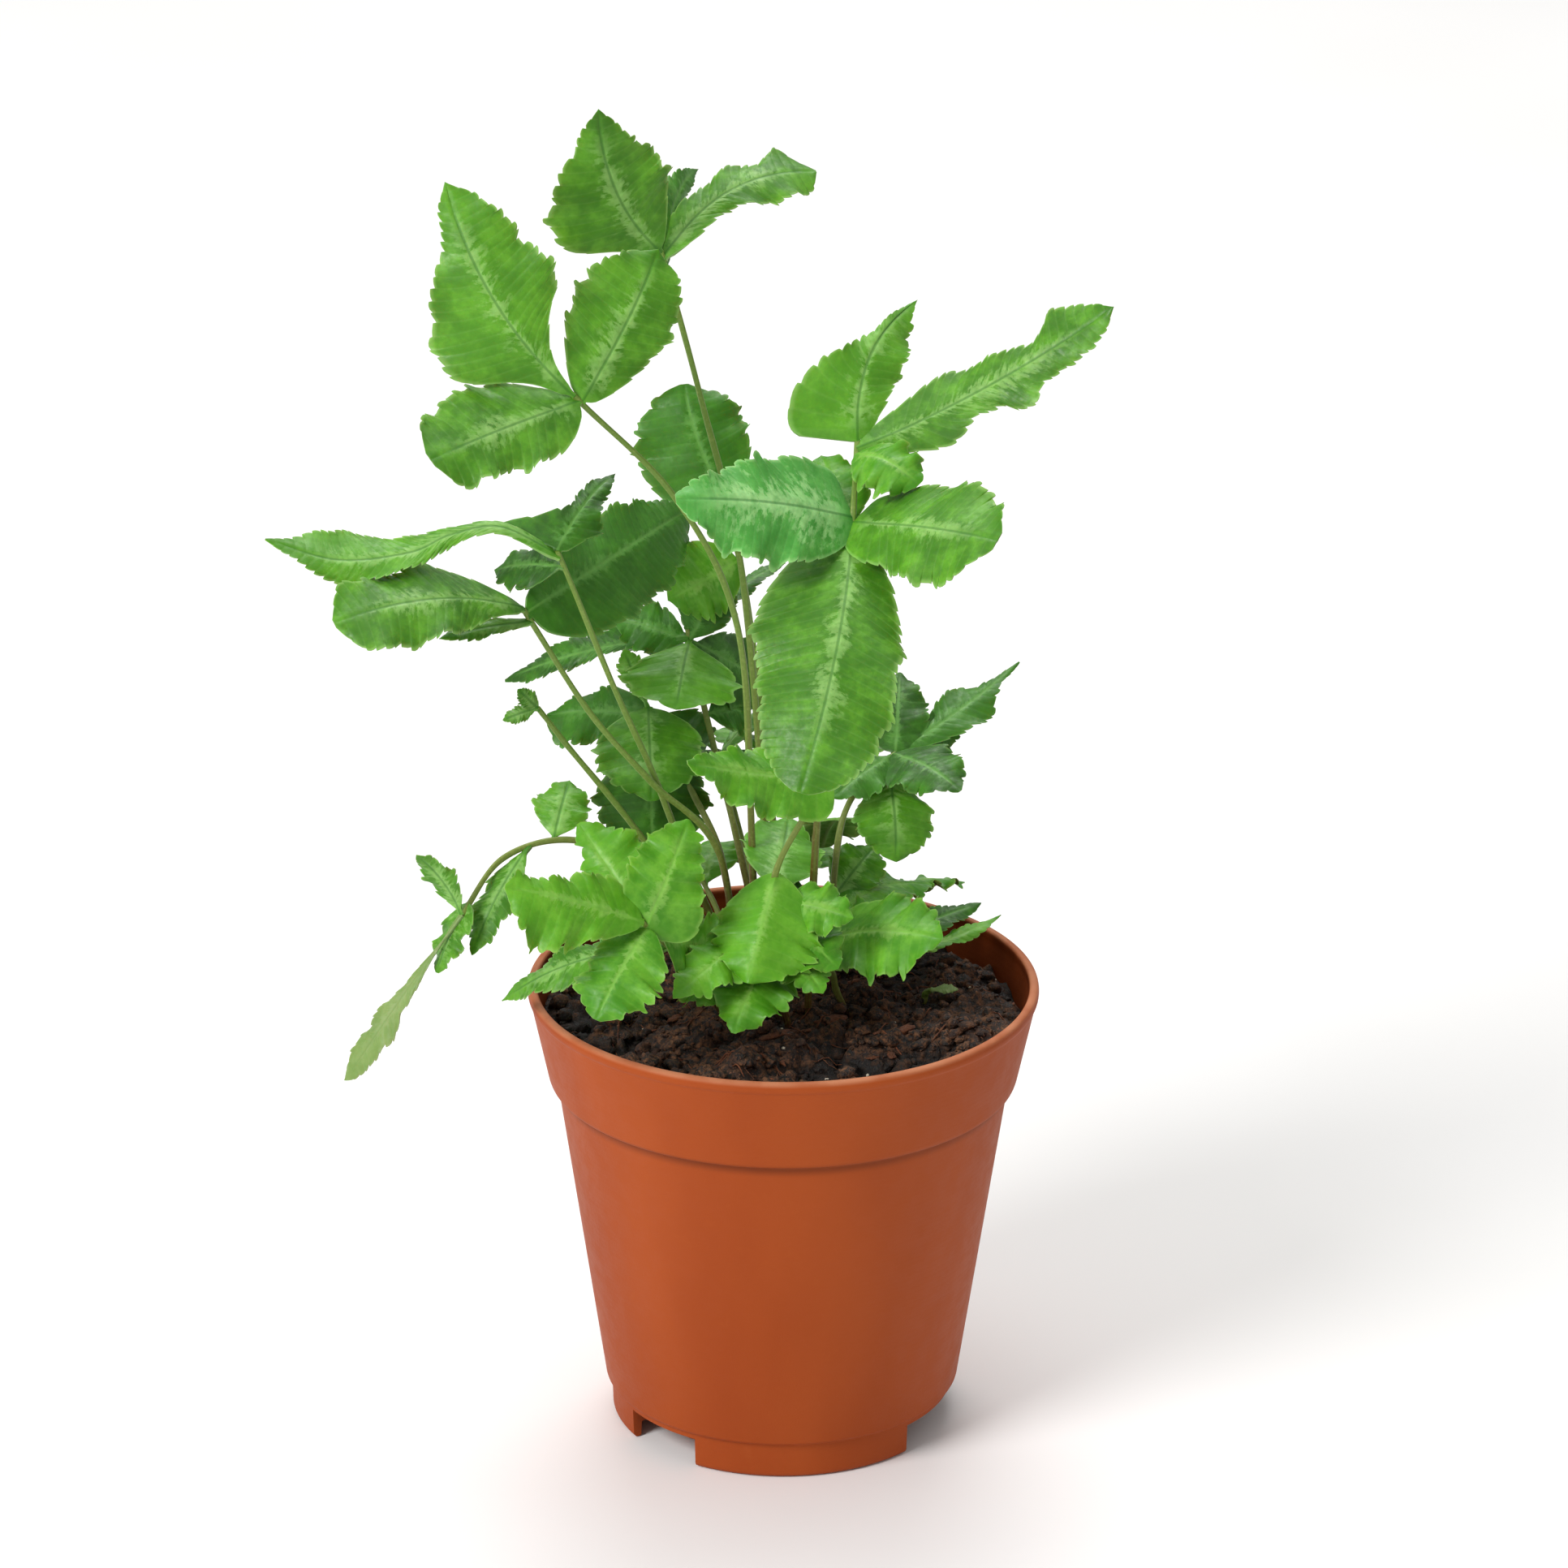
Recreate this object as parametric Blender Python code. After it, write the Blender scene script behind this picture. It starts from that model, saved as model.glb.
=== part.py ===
"""A young brake fern in a round plastic nursery pot: pot, potting soil, and fronds made of
stipes and leaflets.

World frame: metres, +Z up, origin at the middle of the pot's underside, front towards -Y.
Lengths in this file are millimetres until MM turns them into metres.
"""

import math

import bpy
from mathutils import Vector

MM = 0.001

# ---- the pot ---------------------------------------------------------------------------------
POT_HEIGHT = 96.0  # foot to rim
RIM_RADIUS = 52.5  # outside of the rim bead, a 10.5 cm pot
WALL = 1.2  # moulded wall
BEAD_HEIGHT = 2.0  # rolled bead along the rim
COLLAR_HEIGHT = 20.0  # rim down to the shoulder under the collar
SHOULDER_STEP = 1.8  # how far the wall steps in under the collar
COLLAR_TAPER = 3.6  # loss of radius from the rim to the shoulder
FOOT_RADIUS = 35.4  # outside of the foot ring
FOOT_HEIGHT = 8.0  # foot ring up to the start of the wall
FOOT_STEP = 1.4  # how far the foot ring sits inside the wall
CHANNEL_HEIGHT = 3.4  # underside of the drain channel above the ground
CHANNEL_INNER = 25.0  # where the channel drops to the middle disc
DISC_RADIUS = 23.4  # flat middle disc that rests on the ground
POT_SIDES = 48  # facets round the pot
NOTCHES = ((225.0, 15.0), (346.0, 29.0), (105.0, 29.0))  # drain notches: angle from +X, width
NOTCH_TOP = 6.4  # top of a drain notch above the ground

# ---- the soil --------------------------------------------------------------------------------
SOIL_DROP = 8.0  # rim down to the soil at the wall
SOIL_MOUND = 2.4  # how much higher the soil is under the plant
SOIL_LUMP = 0.9  # height of the crumbs and clods
SOIL_SIDES = 36
SOIL_RINGS = 9
SEAT = 0.3  # gap left between pieces that touch

# ---- the plant -------------------------------------------------------------------------------
STANDARD_RIM = 52.5  # rim radius at which the plant below is drawn at full size
STIPE_FOOT_RADIUS = 0.85  # stipe where it leaves the soil
STIPE_HEAD_RADIUS = 0.55  # stipe where the leaflets sit
STIPE_SIDES = 6
STIPE_STEPS = 3  # pieces between two drawn points of a stipe
LEAF_THICKNESS = 0.6
LEAF_BASE_WIDTH = 0.8  # the little stalk of a leaflet
LEAF_TIP_WIDTH = 0.9
LEAF_STATIONS = (0.0, 0.07, 0.2, 0.4, 0.6, 0.8, 0.94, 1.0)
LEAF_COLUMNS = (-1.0, -0.5, 0.0, 0.5, 1.0)
STALK_GAP = 0.45  # clear space between a stipe and the stalk of a leaflet that grows there
STALK_SHARE = 0.06  # share of a leaflet's length that is stalk

# Each frond: name, stipe colour, points of its stipe (x, y, height over the soil line) from the
# soil to the head, and its leaflets.
# Each leaflet: name, distance back from the head where it grows, tip (x, y, height over the
# soil line), way the upper side looks, full width, arch of the midrib, sideways sway of the
# midrib, fold of each half in degrees (positive droops), widest place along it, colour.
FRONDS = (
    ("tall", "olive",
     ((-1, 7, 2.5), (-4, 9, 40), (-9, 13, 93), (-17, 16, 128), (-25, 18, 158)),
     (("left", 0.0, (-37, 8, 190), (0.1, -0.95, 0.3), 25, 1.5, -3.5, 6, 0.38, "leaf"),
      ("right", 1.6, (5, 38, 170), (-0.2, -0.2, 0.96), 18, 4.0, 0.0, 8, 0.64, "leaf"),
      ("rear", 3.2, (-18, 46, 167), (0.8, -0.3, 0.5), 12, 2.0, 0.0, 10, 0.45, "deep"))),
    ("left_high", "olive",
     ((-5, -2, 2.5), (-7, -5, 50), (-10, -10, 91), (-22, -18, 119), (-41, -26, 142)),
     (("end", 0.0, (-66, -16, 182), (-0.1, -0.9, 0.4), 24, 3.0, -3.5, 8, 0.38, "leaf"),
      ("right", 2.0, (-25, -7, 166), (0.3, -0.85, 0.4), 21, 2.0, 0.5, 8, 0.52, "leaf"),
      ("left", 1.6, (-68, -44, 135), (-0.1, -0.7, 0.7), 20, 1.0, 0.0, 10, 0.55, "leaf"))),
    ("rear", "olive",
     ((3, 10, 2.5), (-2, 13, 35), (-5, 18, 63), (-9, 26, 88), (-14, 38, 102)),
     (("end", 0.0, (-21, 50, 120), (0.1, -0.95, 0.3), 21, 1.0, -1.0, 8, 0.45, "deep"),
      ("low", 17.0, (-24, 24, 82), (0.3, -0.9, 0.3), 13, 1.0, 0.0, 6, 0.5, "young"))),
    ("right_high", "olive",
     ((5, -5, 2.5), (7, -15, 55), (11, -25, 87), (13, -28, 116), (14, -14, 129)),
     (("end", 0.0, (26, 12, 150), (0.2, -0.85, 0.5), 21, 2.0, -4.5, 8, 0.33, "leaf"),
      ("right", 1.8, (64, -8, 155), (-0.3, -0.15, 0.94), 18, -3.0, 0.0, 10, 0.55, "leaf"),
      ("front", 3.4, (26, -28, 125), (0.3, -0.3, 0.9), 14, 3.0, 0.0, 8, 0.5, "young"),
      ("low_left", 17.6, (-21, -46, 128), (-0.1, -0.75, 0.65), 23, 3.0, 0.0, 10, 0.5, "blue"),
      ("low_right", 18.6, (42, -52, 121), (0.15, -0.7, 0.7), 24, 1.5, 0.0, 8, 0.55, "leaf"),
      ("low_front", 20.4, (3, -70, 77), (-0.1, -0.7, 0.7), 30, 5.0, 2.0, 9, 0.48, "leaf"))),
    ("left_mid", "olive",
     ((-10, -1, 2.5), (-13, -3, 37), (-27, -6, 54), (-39, -9, 70), (-52, -12, 93)),
     (("left", 0.0, (-88, -34, 98), (-0.1, -0.55, 0.8), 24, 5.0, 0.0, 8, 0.5, "leaf"),
      ("front", 3.2, (-67, -20, 87), (0.1, -0.5, 0.85), 10, 1.0, 0.0, 8, 0.5, "leaf"),
      ("rear", 1.0, (-19, 34, 99), (0.1, -0.9, 0.4), 25, 3.0, 0.0, 10, 0.5, "deep"))),
    ("left_long", "olive",
     ((-8, 4, 2.5), (-18, 0, 30), (-26, -4, 53), (-34, -8, 75), (-45, -14, 106)),
     (("end", 0.0, (-34, 4, 116), (0.1, -0.6, 0.8), 21, 2.0, -4.0, 8, 0.42, "deep"),
      ("left", 1.6, (-102, -22, 111), (0.0, -0.5, 0.86), 16, 2.0, 0.0, 8, 0.66, "leaf"))),
    ("middle", "brown",
     ((-3, 12, 2.5), (-9, 13, 31), (-13, 18, 47), (-17, 22, 61), (-20, 26, 75)),
     (("left", 1.6, (-58, 36, 61), (0.0, -0.5, 0.85), 14, 3.0, 0.0, 8, 0.5, "deep"),
      ("right", 0.0, (0, 50, 81), (-0.2, -0.5, 0.85), 14, 2.0, 0.0, 8, 0.5, "deep"),
      ("front", 2.4, (-22, 6, 65), (0.0, -0.6, 0.8), 25, 2.0, 0.0, 12, 0.55, "leaf"))),
    ("inner_left", "brown",
     ((-9, 9, 2.5), (-13, 12, 31), (-19, 16, 43), (-24, 18, 52), (-28, 20, 60)),
     (("left", 1.4, (-49, 26, 56), (0.0, -0.6, 0.8), 13, 1.5, 0.0, 8, 0.5, "deep"),
      ("end", 0.0, (-27, 6, 51), (0.0, -0.6, 0.8), 19, 3.0, 0.0, 8, 0.55, "leaf"),
      ("low", 10.0, (-31, 29, 33), (0.1, -0.9, 0.3), 14, 1.5, 0.0, 6, 0.5, "deep"))),
    ("right_low", "brown",
     ((9, 9, 2.5), (10, 10, 22), (12, 13, 38), (17, 20, 45), (24, 28, 48)),
     (("right", 0.0, (49, 48, 60), (-0.3, -0.6, 0.75), 14, 1.0, 1.5, 10, 0.5, "deep"),
      ("rear", 1.6, (20, 44, 62), (0.0, -0.8, 0.6), 14, 1.5, 0.0, 8, 0.5, "deep"),
      ("front", 2.4, (36, 10, 46), (0.0, -0.4, 0.9), 15, 2.0, 0.0, 8, 0.45, "deep"),
      ("low", 5.0, (23, 8, 31), (0.2, -0.6, 0.7), 17, 3.0, 0.0, 8, 0.6, "leaf"))),
    ("right_short", "brown",
     ((12, -2, 2.5), (11, -3, 8), (9, -4, 14), (8, -4, 20)),
     (("front", 1.4, (32, -18, 25), (0.0, -0.55, 0.83), 17, 3.0, 0.0, 8, 0.5, "young"),
      ("rear", 0.0, (31, 26, 20), (0.0, -0.3, 0.95), 13, 3.0, 0.0, 8, 0.55, "young"),
      ("low", 3.4, (45, 16, 16), (0.0, -0.3, 0.95), 7, -2.0, 0.0, 8, 0.7, "young"))),
    ("front", "brown",
     ((1, -10, 2.5), (-2, -14, 20), (-2, -16, 36), (3, -19, 50), (10, -22, 61)),
     (("end", 0.0, (-19, -36, 70), (0.0, -0.6, 0.8), 14, -1.0, 0.0, 8, 0.5, "young"),
      ("right", 27.0, (-4, -30, 28), (0.0, -0.6, 0.8), 20, 2.5, 0.0, 14, 0.5, "young"),
      ("low", 44.0, (-10, -34, 11), (0.0, -0.5, 0.85), 14, 3.0, 0.0, 10, 0.55, "young"),
      ("low_right", 41.0, (8, -30, 18), (0.1, -0.6, 0.8), 11, 2.0, 0.0, 8, 0.5, "young"),
      ("low_left", 38.0, (-22, -35, 19), (0.0, -0.6, 0.8), 12, 2.0, 0.0, 8, 0.5, "young"))),
    ("front_left", "brown",
     ((-12, -8, 2.5), (-17, -16, 16), (-23, -25, 26), (-28, -32, 34)),
     (("left", 0.0, (-55, -40, 45), (-0.1, -0.7, 0.7), 17, 2.0, 0.0, 8, 0.5, "young"),
      ("right", 1.6, (-19, -24, 53), (0.2, -0.85, 0.5), 17, 2.0, 0.0, 8, 0.5, "young"),
      ("low", 2.2, (-37, -46, 19), (-0.1, -0.7, 0.7), 18, 2.0, 0.0, 8, 0.5, "young"),
      ("rear", 4.0, (-42, -14, 50), (-0.2, -0.7, 0.7), 17, 2.0, 0.0, 8, 0.5, "young"),
      ("trailing", 12.0, (-57, -16, 10), (0.0, -0.4, 0.9), 9, 3.0, 0.0, 8, 0.6, "leaf"))),
    ("left_trailing", "brown",
     ((-15, 1, 2.5), (-28, 4, 30), (-43, 2, 38), (-57, -3, 36), (-65, -14, 28)),
     (("inner", 22.0, (-59, -16, 17), (-0.4, -0.6, 0.7), 9, 2.0, 0.0, 10, 0.5, "leaf"),
      ("low", 3.0, (-66, -18, 14), (-0.8, -0.5, 0.2), 9, 1.0, 0.0, 8, 0.5, "leaf"),
      ("end", 0.0, (-89, -20, -6), (-0.5, -0.5, 0.7), 8, 2.0, 0.0, 8, 0.72, "pale"))),
)

COLOURS = {
    # name: linear base colour, roughness
    "terracotta": ((0.42, 0.115, 0.045), 0.55),
    "soil": ((0.022, 0.012, 0.008), 0.95),
    "olive": ((0.14, 0.20, 0.045), 0.5),
    "brown": ((0.13, 0.085, 0.03), 0.6),
    "leaf": ((0.07, 0.25, 0.035), 0.5),
    "blue": ((0.06, 0.23, 0.075), 0.45),
    "deep": ((0.045, 0.14, 0.02), 0.55),
    "young": ((0.15, 0.40, 0.05), 0.5),
    "pale": ((0.26, 0.44, 0.10), 0.55),
}

SOIL_LINE = POT_HEIGHT - SOIL_DROP
PLANT_SCALE = RIM_RADIUS / STANDARD_RIM
SHOULDER = POT_HEIGHT - COLLAR_HEIGHT
COLLAR_RADIUS = RIM_RADIUS - 0.5 - COLLAR_TAPER
WALL_TOP_RADIUS = COLLAR_RADIUS - SHOULDER_STEP
WALL_FOOT_RADIUS = FOOT_RADIUS + FOOT_STEP


def clear_scene():
    for thing in list(bpy.data.objects):
        bpy.data.objects.remove(thing, do_unlink=True)


def material(colour):
    found = bpy.data.materials.get(colour)
    if found:
        return found
    base, roughness = COLOURS[colour]
    made = bpy.data.materials.new(colour)
    made.use_nodes = True
    shader = made.node_tree.nodes["Principled BSDF"]
    shader.inputs["Base Color"].default_value = (*base, 1.0)
    shader.inputs["Roughness"].default_value = roughness
    shader.inputs["Metallic"].default_value = 0.0
    made.diffuse_color = (*base, 1.0)
    return made


def add_object(name, points, faces, colour):
    mesh = bpy.data.meshes.new(name)
    mesh.from_pydata([Vector(p) * MM for p in points], [], faces)
    mesh.validate()
    mesh.update()
    mesh.materials.append(material(colour))
    made = bpy.data.objects.new(name, mesh)
    bpy.context.scene.collection.objects.link(made)
    return made


# ---- turned shapes ---------------------------------------------------------------------------
def turned(profile, sides):
    """Points and faces of a closed outline turned about the Z axis. The outline starts and ends
    on the axis, and runs from the bottom middle outwards and up to the top middle."""
    points = [(0.0, 0.0, profile[0][1])]
    for radius, height in profile[1:-1]:
        for k in range(sides):
            angle = 2 * math.pi * k / sides
            points.append((radius * math.cos(angle), radius * math.sin(angle), height))
    points.append((0.0, 0.0, profile[-1][1]))
    return points, turned_faces(len(profile) - 2, sides)


def turned_faces(rings, sides):
    faces = []
    last = rings * sides + 1
    for k in range(sides):
        n = (k + 1) % sides
        faces.append((0, 1 + n, 1 + k))
        for ring in range(rings - 1):
            a = 1 + ring * sides
            b = a + sides
            faces.append((a + k, a + n, b + n, b + k))
        a = 1 + (rings - 1) * sides
        faces.append((a + k, a + n, last))
    return faces


def outer_profile():
    """Outside of the pot, from the middle of the underside to the top of the rim."""
    rim = RIM_RADIUS
    top = POT_HEIGHT
    return [
        (0.0, 0.0),
        (DISC_RADIUS, 0.0),
        (CHANNEL_INNER, CHANNEL_HEIGHT),
        (FOOT_RADIUS - 1.9, CHANNEL_HEIGHT),
        (FOOT_RADIUS - 1.7, 0.0),
        (FOOT_RADIUS - 0.5, 0.0),
        (FOOT_RADIUS, 0.7),
        (FOOT_RADIUS + 0.25, FOOT_HEIGHT - 0.4),
        (WALL_FOOT_RADIUS, FOOT_HEIGHT + 0.2),
        (WALL_TOP_RADIUS, SHOULDER - 0.8),
        (COLLAR_RADIUS - 0.3, SHOULDER - 0.2),
        (COLLAR_RADIUS, SHOULDER + 0.6),
        (rim - 0.5, top - BEAD_HEIGHT - 0.5),
        (rim - 0.1, top - BEAD_HEIGHT),
        (rim, top - BEAD_HEIGHT * 0.6),
        (rim - 0.2, top - 0.3),
        (rim - 0.8, top),
    ]


def inner_profile():
    """Inside of the pot, from the top of the rim down to the middle of the floor."""
    rim = RIM_RADIUS
    top = POT_HEIGHT
    return [
        (rim - WALL - 0.5, top),
        (rim - WALL - 0.9, top - 0.6),
        (rim - WALL - 0.6, top - BEAD_HEIGHT - 0.5),
        (COLLAR_RADIUS - WALL, SHOULDER + 1.4),
        (WALL_TOP_RADIUS - WALL, SHOULDER + 0.4),
        (WALL_FOOT_RADIUS - WALL, FOOT_HEIGHT + 1.0),
        (FOOT_RADIUS - WALL, FOOT_HEIGHT - 0.4),
        (FOOT_RADIUS - WALL - 0.3, CHANNEL_HEIGHT + WALL),
        (CHANNEL_INNER - 0.9, CHANNEL_HEIGHT + WALL),
        (DISC_RADIUS - 0.9, WALL),
        (0.0, WALL),
    ]


def notch_block(name, middle, width):
    """A wedge of air round the foot, wider than the ring on both sides."""
    inner = FOOT_RADIUS - 4.4
    outer = FOOT_RADIUS + 5.0
    steps = 4
    points = []
    for level in (-2.0, NOTCH_TOP):
        for radius in (inner, outer):
            for k in range(steps + 1):
                angle = math.radians(middle - width / 2 + width * k / steps)
                points.append((radius * math.cos(angle), radius * math.sin(angle), level))
    row = steps + 1
    faces = []
    for k in range(steps):
        faces.append((k, k + 1, row + k + 1, row + k))
        faces.append((2 * row + k, 3 * row + k, 3 * row + k + 1, 2 * row + k + 1))
        faces.append((k, 2 * row + k, 2 * row + k + 1, k + 1))
        faces.append((row + k, row + k + 1, 3 * row + k + 1, 3 * row + k))
    faces.append((0, row, 3 * row, 2 * row))
    faces.append((steps, 2 * row + steps, 3 * row + steps, row + steps))
    block = add_object(name, points, faces, "terracotta")
    block.hide_render = True
    block.display_type = "WIRE"
    return block


def build_pot():
    points, faces = turned(outer_profile() + inner_profile(), POT_SIDES)
    pot = add_object("pot", points, faces, "terracotta")
    for n, (middle, width) in enumerate(NOTCHES):
        cut = pot.modifiers.new(f"notch_{n}", "BOOLEAN")
        cut.operation = "DIFFERENCE"
        cut.solver = "EXACT"
        cut.object = notch_block(f"notch_air_{n}", middle, width)


# ---- soil ------------------------------------------------------------------------------------
def soil_radius():
    """Radius of the soil where its surface meets the wall."""
    share = (SOIL_LINE - SHOULDER) / (POT_HEIGHT - BEAD_HEIGHT - SHOULDER)
    low = COLLAR_RADIUS - WALL
    high = RIM_RADIUS - WALL - 0.6
    return low + (high - low) * share - SEAT - 0.1


def soil_top(x, y):
    """Height of the soil surface: a low mound under the plant, with clods."""
    edge = soil_radius()
    r = min(1.0, math.hypot(x, y) / edge)
    mound = SOIL_MOUND * (1 - r * r)
    u = x / PLANT_SCALE
    v = y / PLANT_SCALE
    clods = math.sin(u * 0.31 + 0.8) * math.cos(v * 0.27 - 0.4)
    clods += 0.6 * math.sin(u * 0.53 - v * 0.47 + 2.0)
    return SOIL_LINE + mound + SOIL_LUMP * clods * (1 - 0.5 * r)


def soil_under():
    """Outline of the soil against the pot, from the middle of the floor to the surface."""
    lift = SEAT + 0.05
    return [
        (0.0, WALL + lift),
        (DISC_RADIUS - 1.6, WALL + lift),
        (CHANNEL_INNER - 1.3, CHANNEL_HEIGHT + WALL + lift),
        (FOOT_RADIUS - WALL - 0.8, CHANNEL_HEIGHT + WALL + lift),
        (FOOT_RADIUS - WALL - 0.5, FOOT_HEIGHT - 0.2),
        (WALL_FOOT_RADIUS - WALL - 0.5, FOOT_HEIGHT + 1.4),
        (WALL_TOP_RADIUS - WALL - 0.45, SHOULDER + 0.6),
        (COLLAR_RADIUS - WALL - 0.45, SHOULDER + 1.9),
    ]


def build_soil():
    under = soil_under()
    edge = soil_radius()
    rings = [(radius, height) for radius, height in under[1:]]
    points = [(0.0, 0.0, under[0][1])]
    angles = [2 * math.pi * k / SOIL_SIDES for k in range(SOIL_SIDES)]
    for radius, height in rings:
        points += [(radius * math.cos(a), radius * math.sin(a), height) for a in angles]
    for step in range(SOIL_RINGS):
        radius = edge * (1 - step / SOIL_RINGS)
        for a in angles:
            x = radius * math.cos(a)
            y = radius * math.sin(a)
            points.append((x, y, soil_top(x, y)))
    points.append((0.0, 0.0, soil_top(0.0, 0.0)))
    add_object("soil", points, turned_faces(len(rings) + SOIL_RINGS, SOIL_SIDES), "soil")


# ---- fronds ----------------------------------------------------------------------------------
def placed(point):
    """A drawn point of the plant, in its place over the soil of this pot."""
    x, y, height = point
    return Vector((x * PLANT_SCALE, y * PLANT_SCALE, SOIL_LINE + height * PLANT_SCALE))


def smooth_path(points, steps):
    """A curve through the points, each span cut into the same number of steps."""
    ends = [points[0] * 2 - points[1], *points, points[-1] * 2 - points[-2]]
    path = []
    for a, b, c, d in zip(ends, ends[1:], ends[2:], ends[3:]):
        for k in range(steps):
            t = k / steps
            path.append(0.5 * (2 * b + (c - a) * t + (2 * a - 5 * b + 4 * c - d) * t * t
                               + (3 * b - a - 3 * c + d) * t * t * t))
    path.append(points[-1].copy())
    return path


def stipe_path(drawn):
    points = [placed(p) for p in drawn]
    foot = points[0]
    foot.z = soil_top(foot.x, foot.y) + SEAT + 0.35
    return smooth_path(points, STIPE_STEPS)


def point_back(path, distance):
    """The place on a path this far back from its end, and the way the path runs there."""
    for a, b in zip(reversed(path), reversed(path[:-1])):
        step = (a - b).length
        if distance <= step:
            return a + (b - a) * (distance / step), (a - b).normalized()
        distance -= step
    return path[0].copy(), (path[1] - path[0]).normalized()


def build_stipe(name, path, colour):
    total = len(path) - 1
    side = Vector((0.31, 0.94, 0.12))
    points = []
    for k, here in enumerate(path):
        way = (path[min(k + 1, total)] - path[max(k - 1, 0)]).normalized()
        side = (side - way * side.dot(way)).normalized()
        other = way.cross(side)
        radius = STIPE_FOOT_RADIUS + (STIPE_HEAD_RADIUS - STIPE_FOOT_RADIUS) * k / total
        for n in range(STIPE_SIDES):
            a = 2 * math.pi * n / STIPE_SIDES
            points.append(here + side * (radius * math.cos(a)) + other * (radius * math.sin(a)))
    faces = [tuple(reversed(range(STIPE_SIDES)))]
    for k in range(total):
        a = k * STIPE_SIDES
        for n in range(STIPE_SIDES):
            m = (n + 1) % STIPE_SIDES
            faces.append((a + n, a + m, a + STIPE_SIDES + m, a + STIPE_SIDES + n))
    faces.append(tuple(total * STIPE_SIDES + n for n in range(STIPE_SIDES)))
    add_object(name, points, faces, colour)


def half_width(t, width, widest):
    """Half the width of a leaflet at t along it: a thin stalk, then a blade."""
    if t <= STALK_SHARE:
        return LEAF_BASE_WIDTH / 2
    u = (t - STALK_SHARE) / (1 - STALK_SHARE)
    power = math.log(0.5) / math.log(widest)
    blade = math.sin(math.pi * u ** power) ** 0.8 * width / 2 if u < 1 else 0.0
    return max(blade, (LEAF_BASE_WIDTH if u < 0.5 else LEAF_TIP_WIDTH) / 2)


def stalk_reach(leaving, stipe_way, at_head):
    """How far from the middle of the stipe a leaflet's stalk starts, so that it just clears it."""
    slant = math.sqrt(max(0.0, 1 - leaving.dot(stipe_way) ** 2))
    if at_head:
        return STALK_GAP + STIPE_HEAD_RADIUS * (0.5 + 0.5 * slant)
    return (STALK_GAP + STIPE_HEAD_RADIUS) / max(slant, 0.55)


def leaflet_rows(root, stipe_way, at_head, tip, face, width, arch, sway, widest):
    """Rows of (middle, across, normal, half width) along a leaflet."""
    along = (tip - root).normalized()
    across = along.cross(Vector(face)).normalized()
    normal = across.cross(along)
    bend = (root + tip) / 2 + normal * (2 * arch) + across * (2 * sway)
    leaving = (bend - root).normalized()
    start = root + leaving * stalk_reach(leaving, stipe_way, at_head)
    rows = []
    for t in LEAF_STATIONS:
        middle = start * (1 - t) ** 2 + bend * (2 * t * (1 - t)) + tip * t * t
        way = ((bend - start) * (1 - t) + (tip - bend) * t).normalized()
        side = (across - way * across.dot(way)).normalized()
        rows.append((middle, side, side.cross(way), half_width(t, width, widest)))
    return rows


def build_leaflet(name, rows, fold, colour):
    droop = math.radians(fold)
    points = []
    for lift in (LEAF_THICKNESS / 2, -LEAF_THICKNESS / 2):
        for middle, side, normal, half in rows:
            for column in LEAF_COLUMNS:
                out = side * (column * half * math.cos(droop))
                down = normal * (abs(column) * half * math.sin(droop))
                points.append(middle + out - down + normal * lift)
    add_object(name, points, leaflet_faces(len(rows), len(LEAF_COLUMNS)), colour)


def leaflet_faces(rows, columns):
    """Top skin, bottom skin and the four edges of a thin grid."""
    faces = []
    under = rows * columns
    for r in range(rows - 1):
        for c in range(columns - 1):
            a = r * columns + c
            b = a + columns
            faces.append((a, a + 1, b + 1, b))
            faces.append((under + a, under + b, under + b + 1, under + a + 1))
    for r in range(rows - 1):
        a = r * columns
        b = a + columns
        faces.append((a, b, under + b, under + a))
        a += columns - 1
        b += columns - 1
        faces.append((a, under + a, under + b, b))
    for c in range(columns - 1):
        a = c
        faces.append((a, under + a, under + a + 1, a + 1))
        a = (rows - 1) * columns + c
        faces.append((a, a + 1, under + a + 1, under + a))
    return faces


def build_frond(name, stem_colour, drawn, leaflets):
    path = stipe_path(drawn)
    build_stipe(f"stipe_{name}", path, stem_colour)
    for leaflet, back, tip, face, width, arch, sway, fold, widest, colour in leaflets:
        root, stipe_way = point_back(path, back * PLANT_SCALE)
        sizes = [size * PLANT_SCALE for size in (width, arch, sway)]
        rows = leaflet_rows(root, stipe_way, back == 0, placed(tip), face, *sizes, widest)
        build_leaflet(f"leaflet_{name}_{leaflet}", rows, fold, colour)


def main():
    clear_scene()
    build_pot()
    build_soil()
    for frond in FRONDS:
        build_frond(*frond)


main()
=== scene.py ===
"""A fern in a 10.5 cm nursery pot: serrate leaflets in threes on wiry stipes, over a clumpy peat mix.

The tables give places in millimetres, with heights over the soil line. The plant's upper fronds stand on
olive stipes, the lower ones on brown stipes, and the youngest leaflets, pale and crinkled, lie near the soil.
"""
import math
import random

import bmesh
import bpy
import numpy as np
from mathutils import Matrix, Vector, noise


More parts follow.
